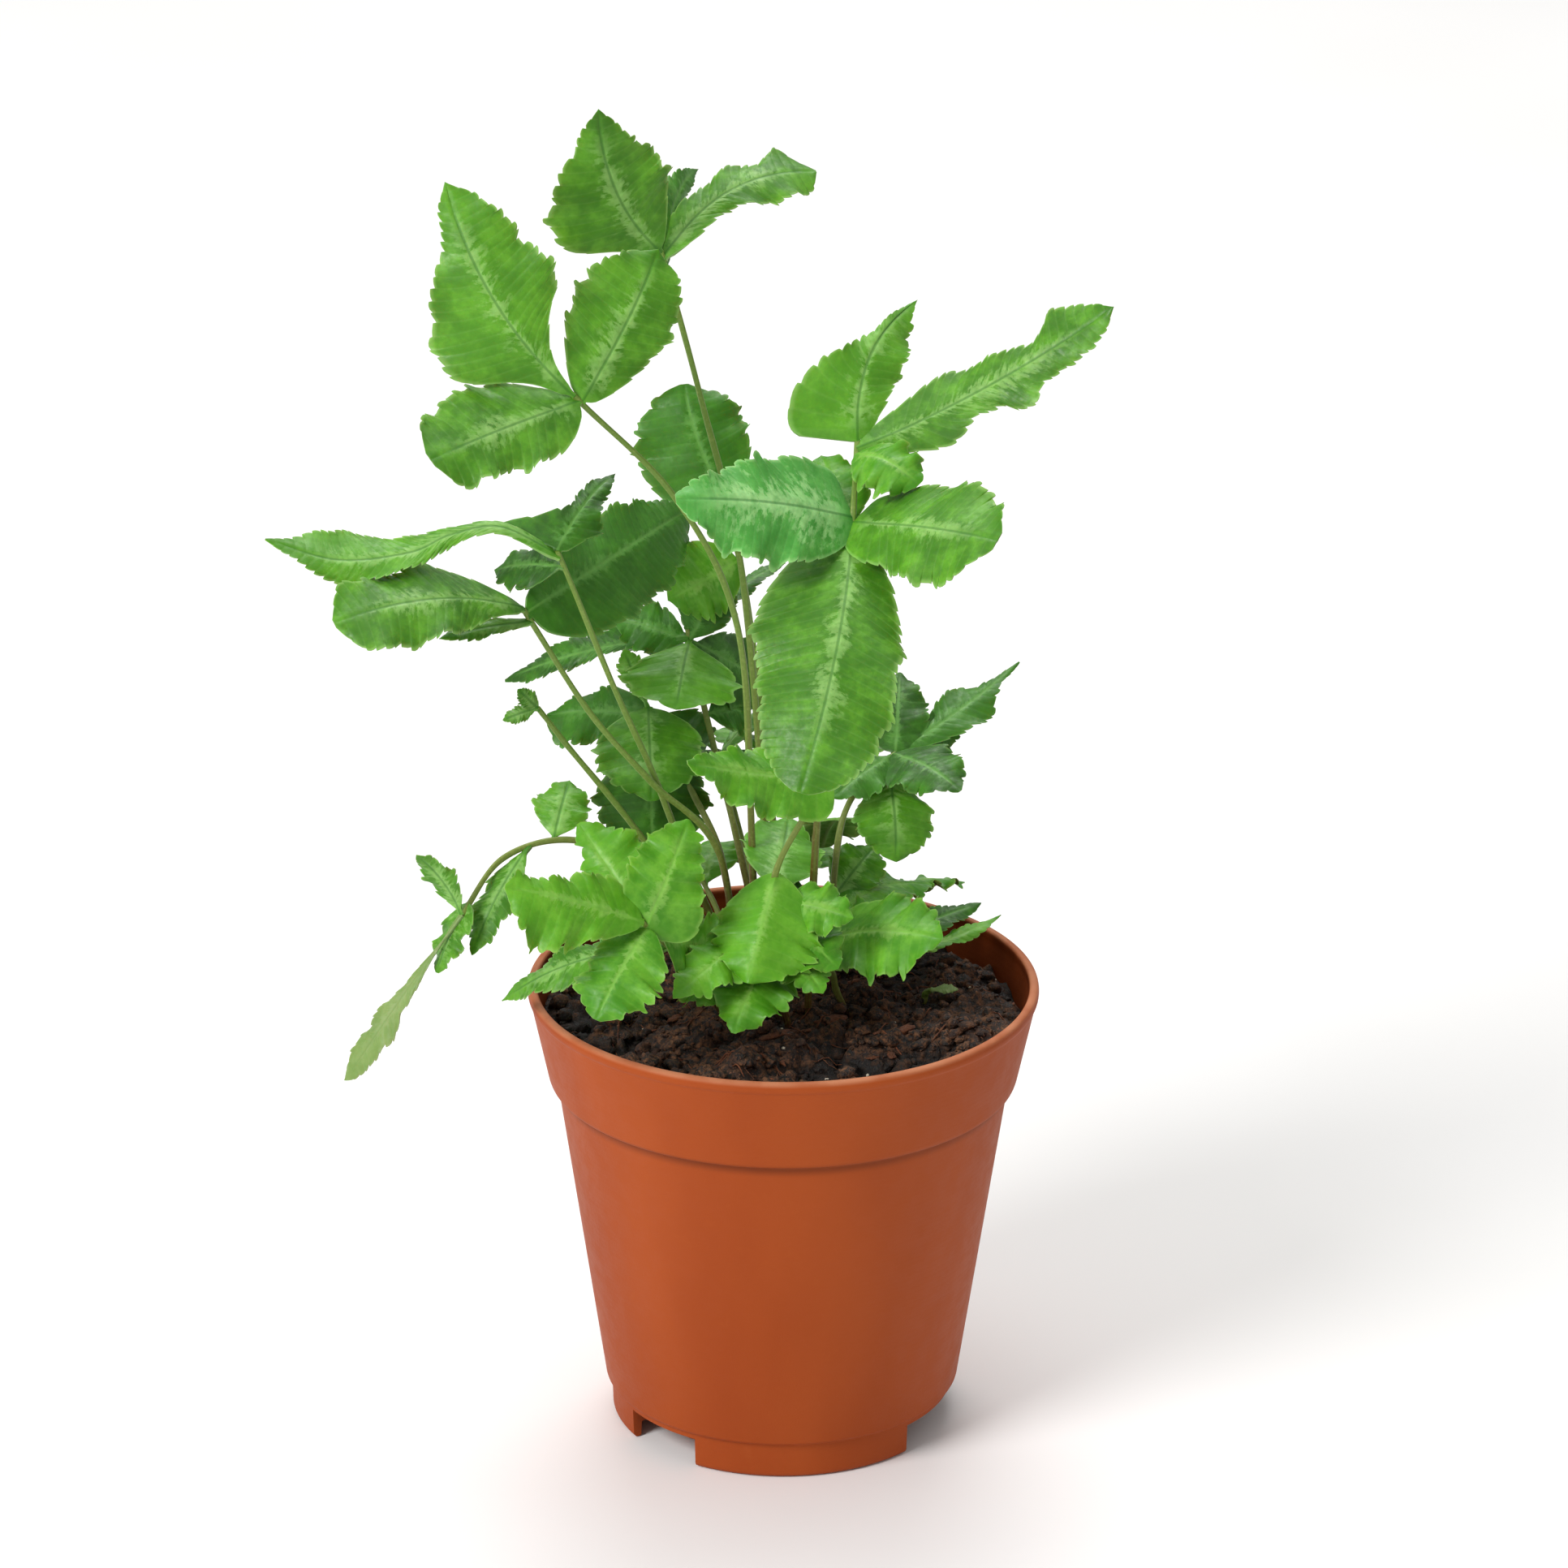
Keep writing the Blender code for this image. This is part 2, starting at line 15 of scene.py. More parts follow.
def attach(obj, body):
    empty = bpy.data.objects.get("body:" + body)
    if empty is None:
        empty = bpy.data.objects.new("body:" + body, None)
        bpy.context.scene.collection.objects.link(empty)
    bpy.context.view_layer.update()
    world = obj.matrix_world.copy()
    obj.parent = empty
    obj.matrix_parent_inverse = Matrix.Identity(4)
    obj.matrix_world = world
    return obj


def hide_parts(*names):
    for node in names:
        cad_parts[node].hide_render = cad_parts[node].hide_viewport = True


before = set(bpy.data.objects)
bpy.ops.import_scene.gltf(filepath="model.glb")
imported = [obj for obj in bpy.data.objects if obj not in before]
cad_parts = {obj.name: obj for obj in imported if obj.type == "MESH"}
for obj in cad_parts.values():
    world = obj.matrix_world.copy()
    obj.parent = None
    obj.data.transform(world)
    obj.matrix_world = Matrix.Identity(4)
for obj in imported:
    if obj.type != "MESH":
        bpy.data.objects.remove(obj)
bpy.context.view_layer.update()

MM = 0.001

# The pot, as the CAD has it
POT_HEIGHT, RIM_RADIUS, WALL, BEAD = 96.0, 52.5, 1.2, 2.0
SHOULDER, COLLAR_RADIUS = 76.0, 48.4
WALL_TOP, WALL_FOOT = 46.6, 36.8
FOOT_RADIUS, FOOT_HEIGHT = 35.4, 8.0
CHANNEL_HEIGHT, CHANNEL_INNER, DISC_RADIUS = 3.4, 25.0, 23.4
NOTCHES = ((225.0, 15.0), (346.0, 29.0), (105.0, 29.0))
NOTCH_TOP = 6.4
POT_SIDES = 240

# The soil
SOIL_LINE, SOIL_MOUND, SOIL_LUMP = 88.0, 2.4, 0.9
SOIL_RADIUS = 49.1
SOIL_FLOOR = 5.4
SOIL_RINGS, SOIL_SIDES = 130, 300
# Heaps and hollows of the planting: x, y, spread, height
HEAPS = ((-12.0, -37.0, 12.0, 2.6), (36.0, -12.0, 11.0, 2.6),
         (17.0, -27.0, 8.0, -4.2), (-38.0, -20.0, 8.0, -2.5))
CLODS = ((10.0, 3.4), (4.2, 2.2), (1.9, 0.8))  # size, height
HOLLOW_TOP, HOLLOW_DEPTH = 2.6, 3.2  # where the painted shade between the clods starts, over the soil line; how far down it takes to get fully dark
CRUMBS, FIBRES = 1300, 130

# The plant
STIPE_FOOT, STIPE_HEAD, STIPE_SIDES, STIPE_GROOVE = 0.85, 0.55, 12, 0.3
ROOT_DEPTH = 5.0  # how far a stipe goes on below its first knot
KNOT_STEPS, FINE_STEPS = 3, 14  # points between knots, as the CAD has them and for the visible stipe
STALK_SHARE = 0.06
TOOTH = 2.1
TOOTH_STOPS = (0.0, 0.3, 0.58, 0.8, 0.93)
COLUMNS = (0.0, 0.035, 0.09, 0.18, 0.3, 0.43, 0.56, 0.68, 0.79, 0.88, 0.95, 1.0)
BLADE_THICKNESS, EDGE_THICKNESS, STALK_THICKNESS = 0.34, 0.14, 0.9
VEIN_LEAN = 0.16  # how far veins sweep towards the tip
QUILTING, RIB_DENT, RIB_RIDGE = 0.05, 0.28, 0.35
LEAF_GLOSS = 0.42

# The studio: name, place, aim, size in metres, power in watts
LAMPS = (("key", (-0.97, -0.88, 1.05), (-0.01, 0.0, 0.12), 0.7, 19.0),
         ("top", (0.0, 0.3, 1.3), (-0.01, 0.0, 0.12), 0.9, 4.0),
         ("back", (0.0, 1.3, 1.6), (0.0, 0.9, 0.0), 1.2, 14.0))
SKY_STRENGTH = 0.45
FLOOR_HALF, FLOOR_CELLS, FLOOR_GAP = 6.0, 8, 0.0002
CAMERA_PLACE, CAMERA_PITCH, CAMERA_ROLL = (-0.00006, -1.2, 0.6116), 21.486, 0.257
CAMERA_SENSOR, CAMERA_LENS, CAMERA_CLIP = 36.0, 146.07, (0.05, 20.0)

# Each frond: name, colour of its stipe, knots, and leaflets. Each leaflet: name, how far back from the
# stipe's end it starts, tip, facing, width, arch and sway of the rib, fold in degrees, the share of its
# length at which it is widest, colour
FRONDS = (
    ("tall", "olive", ((-1, 7, 2.5), (-4, 9, 40), (-9, 13, 93), (-17, 16, 128), (-25, 18, 158)), (
        ("left", 0.0, (-37, 8, 190), (0.1, -0.95, 0.3), 25, 1.5, -3.5, 6, 0.38, "leaf"),
        ("right", 1.6, (5, 38, 170), (-0.2, -0.2, 0.96), 18, 4.0, 0.0, 8, 0.64, "leaf"),
        ("rear", 3.2, (-18, 46, 167), (0.8, -0.3, 0.5), 12, 2.0, 0.0, 10, 0.45, "deep"))),
    ("left_high", "olive", ((-5, -2, 2.5), (-7, -5, 50), (-10, -10, 91), (-22, -18, 119), (-41, -26, 142)), (
        ("end", 0.0, (-66, -16, 182), (-0.1, -0.9, 0.4), 24, 3.0, -3.5, 8, 0.38, "leaf"),
        ("right", 2.0, (-25, -7, 166), (0.3, -0.85, 0.4), 21, 2.0, 0.5, 8, 0.52, "leaf"),
        ("left", 1.6, (-68, -44, 135), (-0.1, -0.7, 0.7), 20, 1.0, 0.0, 10, 0.55, "leaf"))),
    ("rear", "olive", ((3, 10, 2.5), (-2, 13, 35), (-5, 18, 63), (-9, 26, 88), (-14, 38, 102)), (
        ("end", 0.0, (-21, 50, 120), (0.1, -0.95, 0.3), 21, 1.0, -1.0, 8, 0.45, "deep"),
        ("low", 17.0, (-24, 24, 82), (0.3, -0.9, 0.3), 13, 1.0, 0.0, 6, 0.5, "young"))),
    ("right_high", "olive", ((5, -5, 2.5), (7, -15, 55), (11, -25, 87), (13, -28, 116), (14, -14, 129)), (
        ("end", 0.0, (26, 12, 150), (0.2, -0.85, 0.5), 21, 2.0, -4.5, 8, 0.33, "leaf"),
        ("right", 1.8, (64, -8, 155), (-0.3, -0.15, 0.94), 18, -3.0, 0.0, 10, 0.55, "leaf"),
        ("front", 3.4, (26, -28, 125), (0.3, -0.3, 0.9), 14, 3.0, 0.0, 8, 0.5, "young"),
        ("low_left", 17.6, (-21, -46, 128), (-0.1, -0.75, 0.65), 23, 3.0, 0.0, 10, 0.5, "blue"),
        ("low_right", 18.6, (42, -52, 121), (0.15, -0.7, 0.7), 24, 1.5, 0.0, 8, 0.55, "leaf"),
        ("low_front", 20.4, (3, -70, 77), (-0.1, -0.7, 0.7), 30, 5.0, 2.0, 9, 0.48, "leaf"))),
    ("left_mid", "olive", ((-10, -1, 2.5), (-13, -3, 37), (-27, -6, 54), (-39, -9, 70), (-52, -12, 93)), (
        ("left", 0.0, (-88, -34, 98), (-0.1, -0.55, 0.8), 24, 5.0, 0.0, 8, 0.5, "leaf"),
        ("front", 3.2, (-67, -20, 87), (0.1, -0.5, 0.85), 10, 1.0, 0.0, 8, 0.5, "leaf"),
        ("rear", 1.0, (-19, 34, 99), (0.1, -0.9, 0.4), 25, 3.0, 0.0, 10, 0.5, "deep"))),
    ("left_long", "olive", ((-8, 4, 2.5), (-18, 0, 30), (-26, -4, 53), (-34, -8, 75), (-45, -14, 106)), (
        ("end", 0.0, (-34, 4, 116), (0.1, -0.6, 0.8), 21, 2.0, -4.0, 8, 0.42, "deep"),
        ("left", 1.6, (-102, -22, 111), (0.0, -0.5, 0.86), 16, 2.0, 0.0, 8, 0.66, "leaf"))),
    ("middle", "brown", ((-3, 12, 2.5), (-9, 13, 31), (-13, 18, 47), (-17, 22, 61), (-20, 26, 75)), (
        ("left", 1.6, (-58, 36, 61), (0.0, -0.5, 0.85), 14, 3.0, 0.0, 8, 0.5, "deep"),
        ("right", 0.0, (0, 50, 81), (-0.2, -0.5, 0.85), 14, 2.0, 0.0, 8, 0.5, "deep"),
        ("front", 2.4, (-22, 6, 65), (0.0, -0.6, 0.8), 25, 2.0, 0.0, 12, 0.55, "leaf"))),
    ("inner_left", "brown", ((-9, 9, 2.5), (-13, 12, 31), (-19, 16, 43), (-24, 18, 52), (-28, 20, 60)), (
        ("left", 1.4, (-49, 26, 56), (0.0, -0.6, 0.8), 13, 1.5, 0.0, 8, 0.5, "deep"),
        ("end", 0.0, (-27, 6, 51), (0.0, -0.6, 0.8), 19, 3.0, 0.0, 8, 0.55, "leaf"),
        ("low", 10.0, (-31, 29, 33), (0.1, -0.9, 0.3), 14, 1.5, 0.0, 6, 0.5, "deep"))),
    ("right_low", "brown", ((9, 9, 2.5), (10, 10, 22), (12, 13, 38), (17, 20, 45), (24, 28, 48)), (
        ("right", 0.0, (49, 48, 60), (-0.3, -0.6, 0.75), 14, 1.0, 1.5, 10, 0.5, "deep"),
        ("rear", 1.6, (20, 44, 62), (0.0, -0.8, 0.6), 14, 1.5, 0.0, 8, 0.5, "deep"),
        ("front", 2.4, (36, 10, 46), (0.0, -0.4, 0.9), 15, 2.0, 0.0, 8, 0.45, "deep"),
        ("low", 5.0, (23, 8, 31), (0.2, -0.6, 0.7), 17, 3.0, 0.0, 8, 0.6, "leaf"))),
    ("right_short", "brown", ((12, -2, 2.5), (11, -3, 8), (9, -4, 14), (8, -4, 20)), (
        ("front", 1.4, (32, -18, 25), (0.0, -0.55, 0.83), 17, 3.0, 0.0, 8, 0.5, "young"),
        ("rear", 0.0, (31, 26, 20), (0.0, -0.3, 0.95), 13, 3.0, 0.0, 8, 0.55, "young"),
        ("low", 3.4, (45, 16, 16), (0.0, -0.3, 0.95), 7, -2.0, 0.0, 8, 0.7, "young"))),
    ("front", "brown", ((1, -10, 2.5), (-2, -14, 20), (-2, -16, 36), (3, -19, 50), (10, -22, 61)), (
        ("end", 0.0, (-19, -36, 70), (0.0, -0.6, 0.8), 14, -1.0, 0.0, 8, 0.5, "young"),
        ("right", 27.0, (-4, -30, 28), (0.0, -0.6, 0.8), 20, 2.5, 0.0, 14, 0.5, "young"),
        ("low", 44.0, (-10, -34, 11), (0.0, -0.5, 0.85), 14, 3.0, 0.0, 10, 0.55, "young"),
        ("low_right", 41.0, (8, -30, 18), (0.1, -0.6, 0.8), 11, 2.0, 0.0, 8, 0.5, "young"),
        ("low_left", 38.0, (-22, -35, 19), (0.0, -0.6, 0.8), 12, 2.0, 0.0, 8, 0.5, "young"))),
    ("front_left", "brown", ((-12, -8, 2.5), (-17, -16, 16), (-23, -25, 26), (-28, -32, 34)), (
        ("left", 0.0, (-55, -40, 45), (-0.1, -0.7, 0.7), 17, 2.0, 0.0, 8, 0.5, "young"),
        ("right", 1.6, (-19, -24, 53), (0.2, -0.85, 0.5), 17, 2.0, 0.0, 8, 0.5, "young"),
        ("low", 2.2, (-37, -46, 19), (-0.1, -0.7, 0.7), 18, 2.0, 0.0, 8, 0.5, "young"),
        ("rear", 4.0, (-42, -14, 50), (-0.2, -0.7, 0.7), 17, 2.0, 0.0, 8, 0.5, "young"),
        ("trailing", 12.0, (-57, -16, 10), (0.0, -0.4, 0.9), 9, 3.0, 0.0, 8, 0.6, "leaf"))),
    ("left_trailing", "brown", ((-15, 1, 2.5), (-28, 4, 30), (-43, 2, 38), (-57, -3, 36), (-65, -14, 28)), (
        ("inner", 22.0, (-59, -16, 17), (-0.4, -0.6, 0.7), 9, 2.0, 0.0, 10, 0.5, "leaf"),
        ("low", 3.0, (-66, -18, 14), (-0.8, -0.5, 0.2), 9, 1.0, 0.0, 8, 0.5, "leaf"),
        ("end", 0.0, (-89, -20, -6), (-0.5, -0.5, 0.7), 8, 2.0, 0.0, 8, 0.72, "pale"))),
)


# ---------------------------------------------------------------- meshes
def new_piece(name, points, faces, material, node=None, marks=None, crease=50):
    """A closed mesh from points in millimetres, with per-point marks that its material reads."""
    mesh = bpy.data.meshes.new(name)
    mesh.from_pydata((np.asarray(points, float) * MM).tolist(), [], [list(map(int, f)) for f in faces])
    mesh.polygons.foreach_set("use_smooth", [True] * len(mesh.polygons))
    mesh.set_sharp_from_angle(angle=math.radians(crease))
    for mark, values in (marks or {}).items():
        values = np.asarray(values, np.float32)
        if values.ndim == 2:
            mesh.attributes.new(mark, "FLOAT_VECTOR", "POINT").data.foreach_set("vector", values.ravel())
        else:
            mesh.attributes.new(mark, "FLOAT", "POINT").data.foreach_set("value", values)
    mesh.materials.append(material)
    piece = bpy.data.objects.new(name, mesh)
    bpy.context.scene.collection.objects.link(piece)
    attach(piece, "root")
    if node:
        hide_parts(node)
    return piece


def grid_faces(rows, columns, wrap=False, offset=0):
    """Quads of a grid of points laid row after row; wrap joins each row's last point to its first."""
    faces = []
    for i in range(rows - 1):
        for j in range(columns if wrap else columns - 1):
            k = (j + 1) % columns
            a, b = offset + i * columns, offset + (i + 1) * columns
            faces.append((a + j, a + k, b + k, b + j))
    return faces


def sheet_faces(rows, columns):
    """Faces of a closed thin sheet: an upper grid, a lower grid after it, and the rim between them."""
    low = rows * columns
    faces = grid_faces(rows, columns)
    faces += [tuple(low + v for v in reversed(f)) for f in faces]
    for i in range(rows - 1):
        a, b = i * columns, (i + 1) * columns
        faces.append((a, b, low + b, low + a))
        c, d = a + columns - 1, b + columns - 1
        faces.append((d, c, low + c, low + d))
    for j in range(columns - 1):
        faces.append((j + 1, j, low + j, low + j + 1))
        e = (rows - 1) * columns + j
        faces.append((e, e + 1, low + e + 1, low + e))
    return faces


def unit(v):
    v = np.asarray(v, float)
    return v / np.linalg.norm(v)


def smoothstep(low, high, value):
    x = np.clip((value - low) / (high - low), 0.0, 1.0)
    return x * x * (3 - 2 * x)


def through(stations, at):
    """A smooth curve through the (place, value) stations, read at these places."""
    x, y = np.array(stations, float).T
    slope = np.gradient(y, x)
    k = np.clip(np.searchsorted(x, at) - 1, 0, len(x) - 2)
    gap = x[k + 1] - x[k]
    s = np.clip((at - x[k]) / gap, 0, 1)
    return ((1 + 2 * s) * (1 - s) ** 2 * y[k] + s * (1 - s) ** 2 * gap * slope[k]
            + s * s * (3 - 2 * s) * y[k + 1] + s * s * (s - 1) * gap * slope[k + 1])


def smooth_path(points, steps):
    """A Catmull-Rom curve through the points."""
    points = [np.asarray(p, float) for p in points]
    ends = [2 * points[0] - points[1], *points, 2 * points[-1] - points[-2]]
    path = []
    for i in range(1, len(ends) - 2):
        a, b, c, d = ends[i - 1:i + 3]
        for k in range(steps):
            t = k / steps
            path.append(0.5 * ((2 * b) + (c - a) * t + (2 * a - 5 * b + 4 * c - d) * t * t
                               + (3 * b - a - 3 * c + d) * t ** 3))
    return path + [points[-1]]


def point_back(path, distance):
    """The point this far back from the path's end."""
    for start, end in zip(path[-2::-1], path[:0:-1]):
        length = np.linalg.norm(end - start)
        if distance <= length:
            return end - (end - start) / length * distance
        distance -= length
    return path[0]


def raised(point):
    """A table's place, whose height is over the soil line, as a place over the floor."""
    return np.array((point[0], point[1], SOIL_LINE + point[2]), float)


# ---------------------------------------------------------------- materials
def linear(code):
    """A hex colour as linear light."""
    parts = [int(code[i:i + 2], 16) / 255 for i in (0, 2, 4)]
    return (*[p / 12.92 if p <= 0.04045 else ((p + 0.055) / 1.055) ** 2.4 for p in parts], 1.0)


class Paint:
    """Short names for building one material's nodes."""

    def __init__(self, name):
        self.material = bpy.data.materials.new(name)
        self.material.use_nodes = True
        self.tree = self.material.node_tree
        self.shader = self.tree.nodes["Principled BSDF"]

    def put(self, socket, value):
        if isinstance(value, bpy.types.NodeSocket):
            self.tree.links.new(value, socket)
        else:
            socket.default_value = value

    def node(self, kind, **settings):
        made = self.tree.nodes.new("ShaderNode" + kind)
        for key, value in settings.items():
            setattr(made, key, value)
        return made

    def mark(self, name, output="Fac"):
        return self.node("Attribute", attribute_name=name).outputs[output]

    def split(self, vector):
        made = self.node("SeparateXYZ")
        self.put(made.inputs[0], vector)
        return made.outputs

    def join(self, x, y, z):
        made = self.node("CombineXYZ")
        for socket, value in zip(made.inputs, (x, y, z)):
            self.put(socket, value)
        return made.outputs[0]

    def math(self, operation, *values, clamp=False):
        made = self.node("Math", operation=operation, use_clamp=clamp)
        for socket, value in zip(made.inputs, values):
            self.put(socket, value)
        return made.outputs[0]

    def step(self, value, low, high, to_low=0.0, to_high=1.0):
        made = self.node("MapRange", interpolation_type="SMOOTHSTEP")
        for socket, given in zip(made.inputs, (value, low, high, to_low, to_high)):
            self.put(socket, given)
        return made.outputs[0]

    def times(self, *values):
        return self.math("MULTIPLY", *values)

    def plus(self, *values):
        return self.math("ADD", *values)

    def minus(self, *values, clamp=False):
        return self.math("SUBTRACT", *values, clamp=clamp)

    def mix(self, share, first, second):
        made = self.node("Mix", data_type="RGBA")
        self.put(made.inputs[0], share)
        self.put(made.inputs[6], first)
        self.put(made.inputs[7], second)
        return made.outputs[2]

    def noise(self, scale, detail=2.0, vector=None, rough=0.5):
        made = self.node("TexNoise")
        if vector is None:
            vector = self.node("TexCoord").outputs["Object"]
        self.put(made.inputs["Vector"], vector)
        made.inputs["Scale"].default_value = scale
        made.inputs["Detail"].default_value = detail
        made.inputs["Roughness"].default_value = rough
        return made.outputs[0]

    def bump(self, height, distance, strength=1.0):
        made = self.node("Bump")
        self.put(made.inputs["Height"], height)
        made.inputs["Distance"].default_value = distance
        made.inputs["Strength"].default_value = strength
        return made.outputs[0]

    def finish(self, colour, rough, normal, **sockets):
        self.put(self.shader.inputs["Base Color"], colour)
        self.put(self.shader.inputs["Roughness"], rough)
        self.put(self.shader.inputs["Normal"], normal)
        for key, value in sockets.items():
            self.shader.inputs[key.replace("_", " ")].default_value = value
        return self.material


def leaf_material(name, dark, mid, light, band, rib, band_width, band_strength):
    """A fern leaflet: a pale feathered band along the rib, fine veins out to the teeth, and pale margins.

    The marks give each point's vein number, place across (-1 to 1) and place along, its distance from the
    rib in millimetres, a tone for the whole leaflet, and 1 on its lower side.
    """
    p = Paint(name)
    vein, across, along = p.split(p.mark("vein", "Vector"))
    from_rib, tone, under = p.mark("from_rib"), p.mark("tone"), p.mark("under")
    side = p.math("ABSOLUTE", across)
    broad = p.noise(95.0, 3.0)
    fine = p.noise(900.0, 3.0)
    shade = p.plus(p.times(broad, 0.75), p.times(tone, 0.7))
    colour = p.mix(p.step(shade, 0.35, 1.0), linear(dark), linear(mid))
    between = p.math("ABSOLUTE", p.minus(p.math("FRACT", vein), 0.5))
    quilted = p.noise(1.0, 2.0, p.join(vein, p.times(from_rib, 0.35), p.times(tone, 40.0)))
    colour = p.mix(p.times(p.step(quilted, 0.35, 0.8), 0.18), colour, linear(light))
    mottled = p.noise(190.0, 5.0, rough=0.62)
    colour = p.mix(p.step(mottled, 0.4, 0.72, 0.0, 0.6), colour, linear(light))
    streaks = p.noise(1.0, 4.0, p.join(p.times(vein, 1.9), p.times(from_rib, 0.45),
                                       p.times(tone, 70.0)), 0.65)
    spread = p.step(p.noise(130.0, 3.0), 0.3, 0.7, 0.45, 1.6)
    reach = p.times(p.times(p.step(streaks, 0.3, 0.7, 0.15, 2.0), spread), band_width)
    feather = p.minus(1.0, p.step(p.math("DIVIDE", from_rib, reach), 0.1, 1.0), clamp=True)
    fade = p.times(p.step(along, 0.02, 0.16), p.step(along, 0.97, 0.6))
    feather = p.times(p.times(feather, fade), band_strength)
    feather = p.times(feather, p.step(p.noise(420.0, 2.0), 0.25, 0.6, 0.55, 1.0))
    colour = p.mix(feather, colour, linear(band))
    lines = p.times(p.step(between, 0.36, 0.49), p.step(side, 0.05, 0.3))
    colour = p.mix(p.times(lines, 0.05), colour, linear(band))
    rib_line = p.times(p.step(from_rib, 0.42, 0.12), p.step(along, 0.98, 0.8))
    colour = p.mix(p.times(rib_line, 0.55), colour, linear(rib))
    colour = p.mix(p.times(p.step(side, 0.9, 1.0), 0.35), colour, linear(band))
    colour = p.mix(p.times(p.step(fine, 0.35, 0.75), 0.22), colour, linear(dark))
    pale_side = p.mix(0.45, colour, linear("7F9C66"))
    net = p.math("MAXIMUM", p.times(p.step(between, 0.34, 0.48), 0.5), p.step(from_rib, 0.6, 0.2))
    pale_side = p.mix(p.times(net, 0.55), pale_side, linear("B5C98C"))
    colour = p.mix(p.times(under, 0.8), colour, pale_side)
    rough = p.step(fine, 0.3, 0.7, LEAF_GLOSS - 0.06, LEAF_GLOSS + 0.14)
    height = p.plus(p.times(p.step(between, 0.2, 0.5), -0.2), p.times(fine, 0.5))
    height = p.plus(height, p.times(mottled, 0.6))
    return p.finish(colour, rough, p.bump(height, 0.00016, 0.6), Specular_IOR_Level=0.3,
                    Subsurface_Weight=0.12, Subsurface_Scale=0.001)


def stipe_material(name, foot, head):
    p = Paint(name)
    along, around, _ = p.split(p.mark("vein", "Vector"))
    streak = p.noise(1.0, 3.0, p.join(p.times(along, 5.0), p.times(around, 9.0), 0.0))
    grain = p.noise(1500.0, 2.0)
    share = p.plus(along, p.times(p.minus(streak, 0.5), 0.7))
    colour = p.mix(p.step(share, 0.12, 0.62), linear(foot), linear(head))
    colour = p.mix(p.step(grain, 0.45, 0.8, 0.0, 0.3), colour, linear("A8B060"))
    return p.finish(colour, p.step(streak, 0.3, 0.7, 0.38, 0.55), p.bump(streak, 0.00012, 0.6),
                    Specular_IOR_Level=0.45)


def pot_material():
    """Moulded terracotta-coloured plastic: an even matt skin with faint flow marks, with a painted highlight
    on the lip, a painted shadow under the collar and painted shade inside.
    """
    p = Paint("pot_plastic")
    place = p.node("TexCoord").outputs["Object"]
    x, y, z = p.split(place)
    flow = p.noise(26.0, 3.0, p.join(x, y, p.times(z, 0.35)))
    grain = p.noise(2600.0, 2.0)
    dust = p.noise(240.0, 4.0, rough=0.65)
    colour = p.mix(p.step(flow, 0.3, 0.7), linear("9A4216"), linear("A64B1C"))
    colour = p.mix(p.step(dust, 0.55, 0.85, 0.0, 0.15), colour, linear("B35F30"))
    # painted highlight: a lighter band, patchy with noise, along the top millimetre of the lip
    lip_highlight = p.times(p.step(z, (POT_HEIGHT - 1.0) * MM, POT_HEIGHT * MM),
                  p.step(p.noise(120.0, 3.0), 0.25, 0.65, 0.4, 1.0))
    colour = p.mix(p.times(lip_highlight, 0.5), colour, linear("D89A74"))
    # painted shadow: a dark line about a millimetre under the collar's step, fading within 2 mm either way
    shadow_under_collar = p.math("ABSOLUTE", p.minus(z, (SHOULDER - 1.3) * MM))
    colour = p.mix(p.step(shadow_under_collar, 0.0, 2.0 * MM, 0.5, 0.0), colour, linear("5E2A12"))
    # painted shade: the pot's inner wall is darkened for the shade that falls inside it
    inside = p.mark("inside")
    colour = p.mix(p.times(inside, 0.55), colour, linear("6E3013"))
    rings = p.math("SINE", p.times(z, 5200.0))
    height = p.plus(p.times(grain, 0.8), p.times(rings, 0.12))
    height = p.plus(height, p.times(dust, 0.5))
    return p.finish(colour, p.step(dust, 0.3, 0.75, 0.5, 0.62), p.bump(height, 0.00006, 0.55),
                    Specular_IOR_Level=0.14)


def soil_material():
    p = Paint("soil")
    clump = p.noise(160.0, 4.0, rough=0.6)
    crumb = p.noise(700.0, 4.0, rough=0.65)
    speck = p.noise(1900.0, 2.0)
    colour = p.mix(p.step(crumb, 0.4, 0.72), linear("120A06"), linear("7A5236"))
    colour = p.mix(p.step(clump, 0.5, 0.7, 0.0, 0.65), colour, linear("2E180D"))
    colour = p.mix(p.step(speck, 0.6, 0.75, 0.0, 0.8), colour, linear("8A5A3A"))
    tint = p.mark("tint")
    colour = p.mix(p.step(tint, 0.35, 0.75, 0.0, 0.85), colour, linear("7C472A"))
    colour = p.mix(p.step(tint, 0.9, 0.97), colour, linear("CFC3AE"))
    # painted shade: low places between the clods, and the crumbs lying in them, darkened to near black
    colour = p.mix(p.step(p.mark("hollow_shade"), 0.0, 1.0, 0.0, 0.9), colour, linear("0A0604"))
    height = p.plus(p.times(crumb, 1.0), p.times(speck, 0.5))
    return p.finish(colour, p.step(crumb, 0.3, 0.7, 0.55, 0.9), p.bump(height, 0.0007, 1.0),
                    Specular_IOR_Level=0.4)


def floor_material():
    p = Paint("floor")
    cloth = p.noise(3.0, 2.0)
    colour = p.mix(p.step(cloth, 0.3, 0.7), linear("F4F3F1"), linear("F8F7F6"))
    return p.finish(colour, p.step(cloth, 0.3, 0.7, 0.7, 0.8), p.bump(p.noise(900.0, 2.0), 0.00003, 0.3))


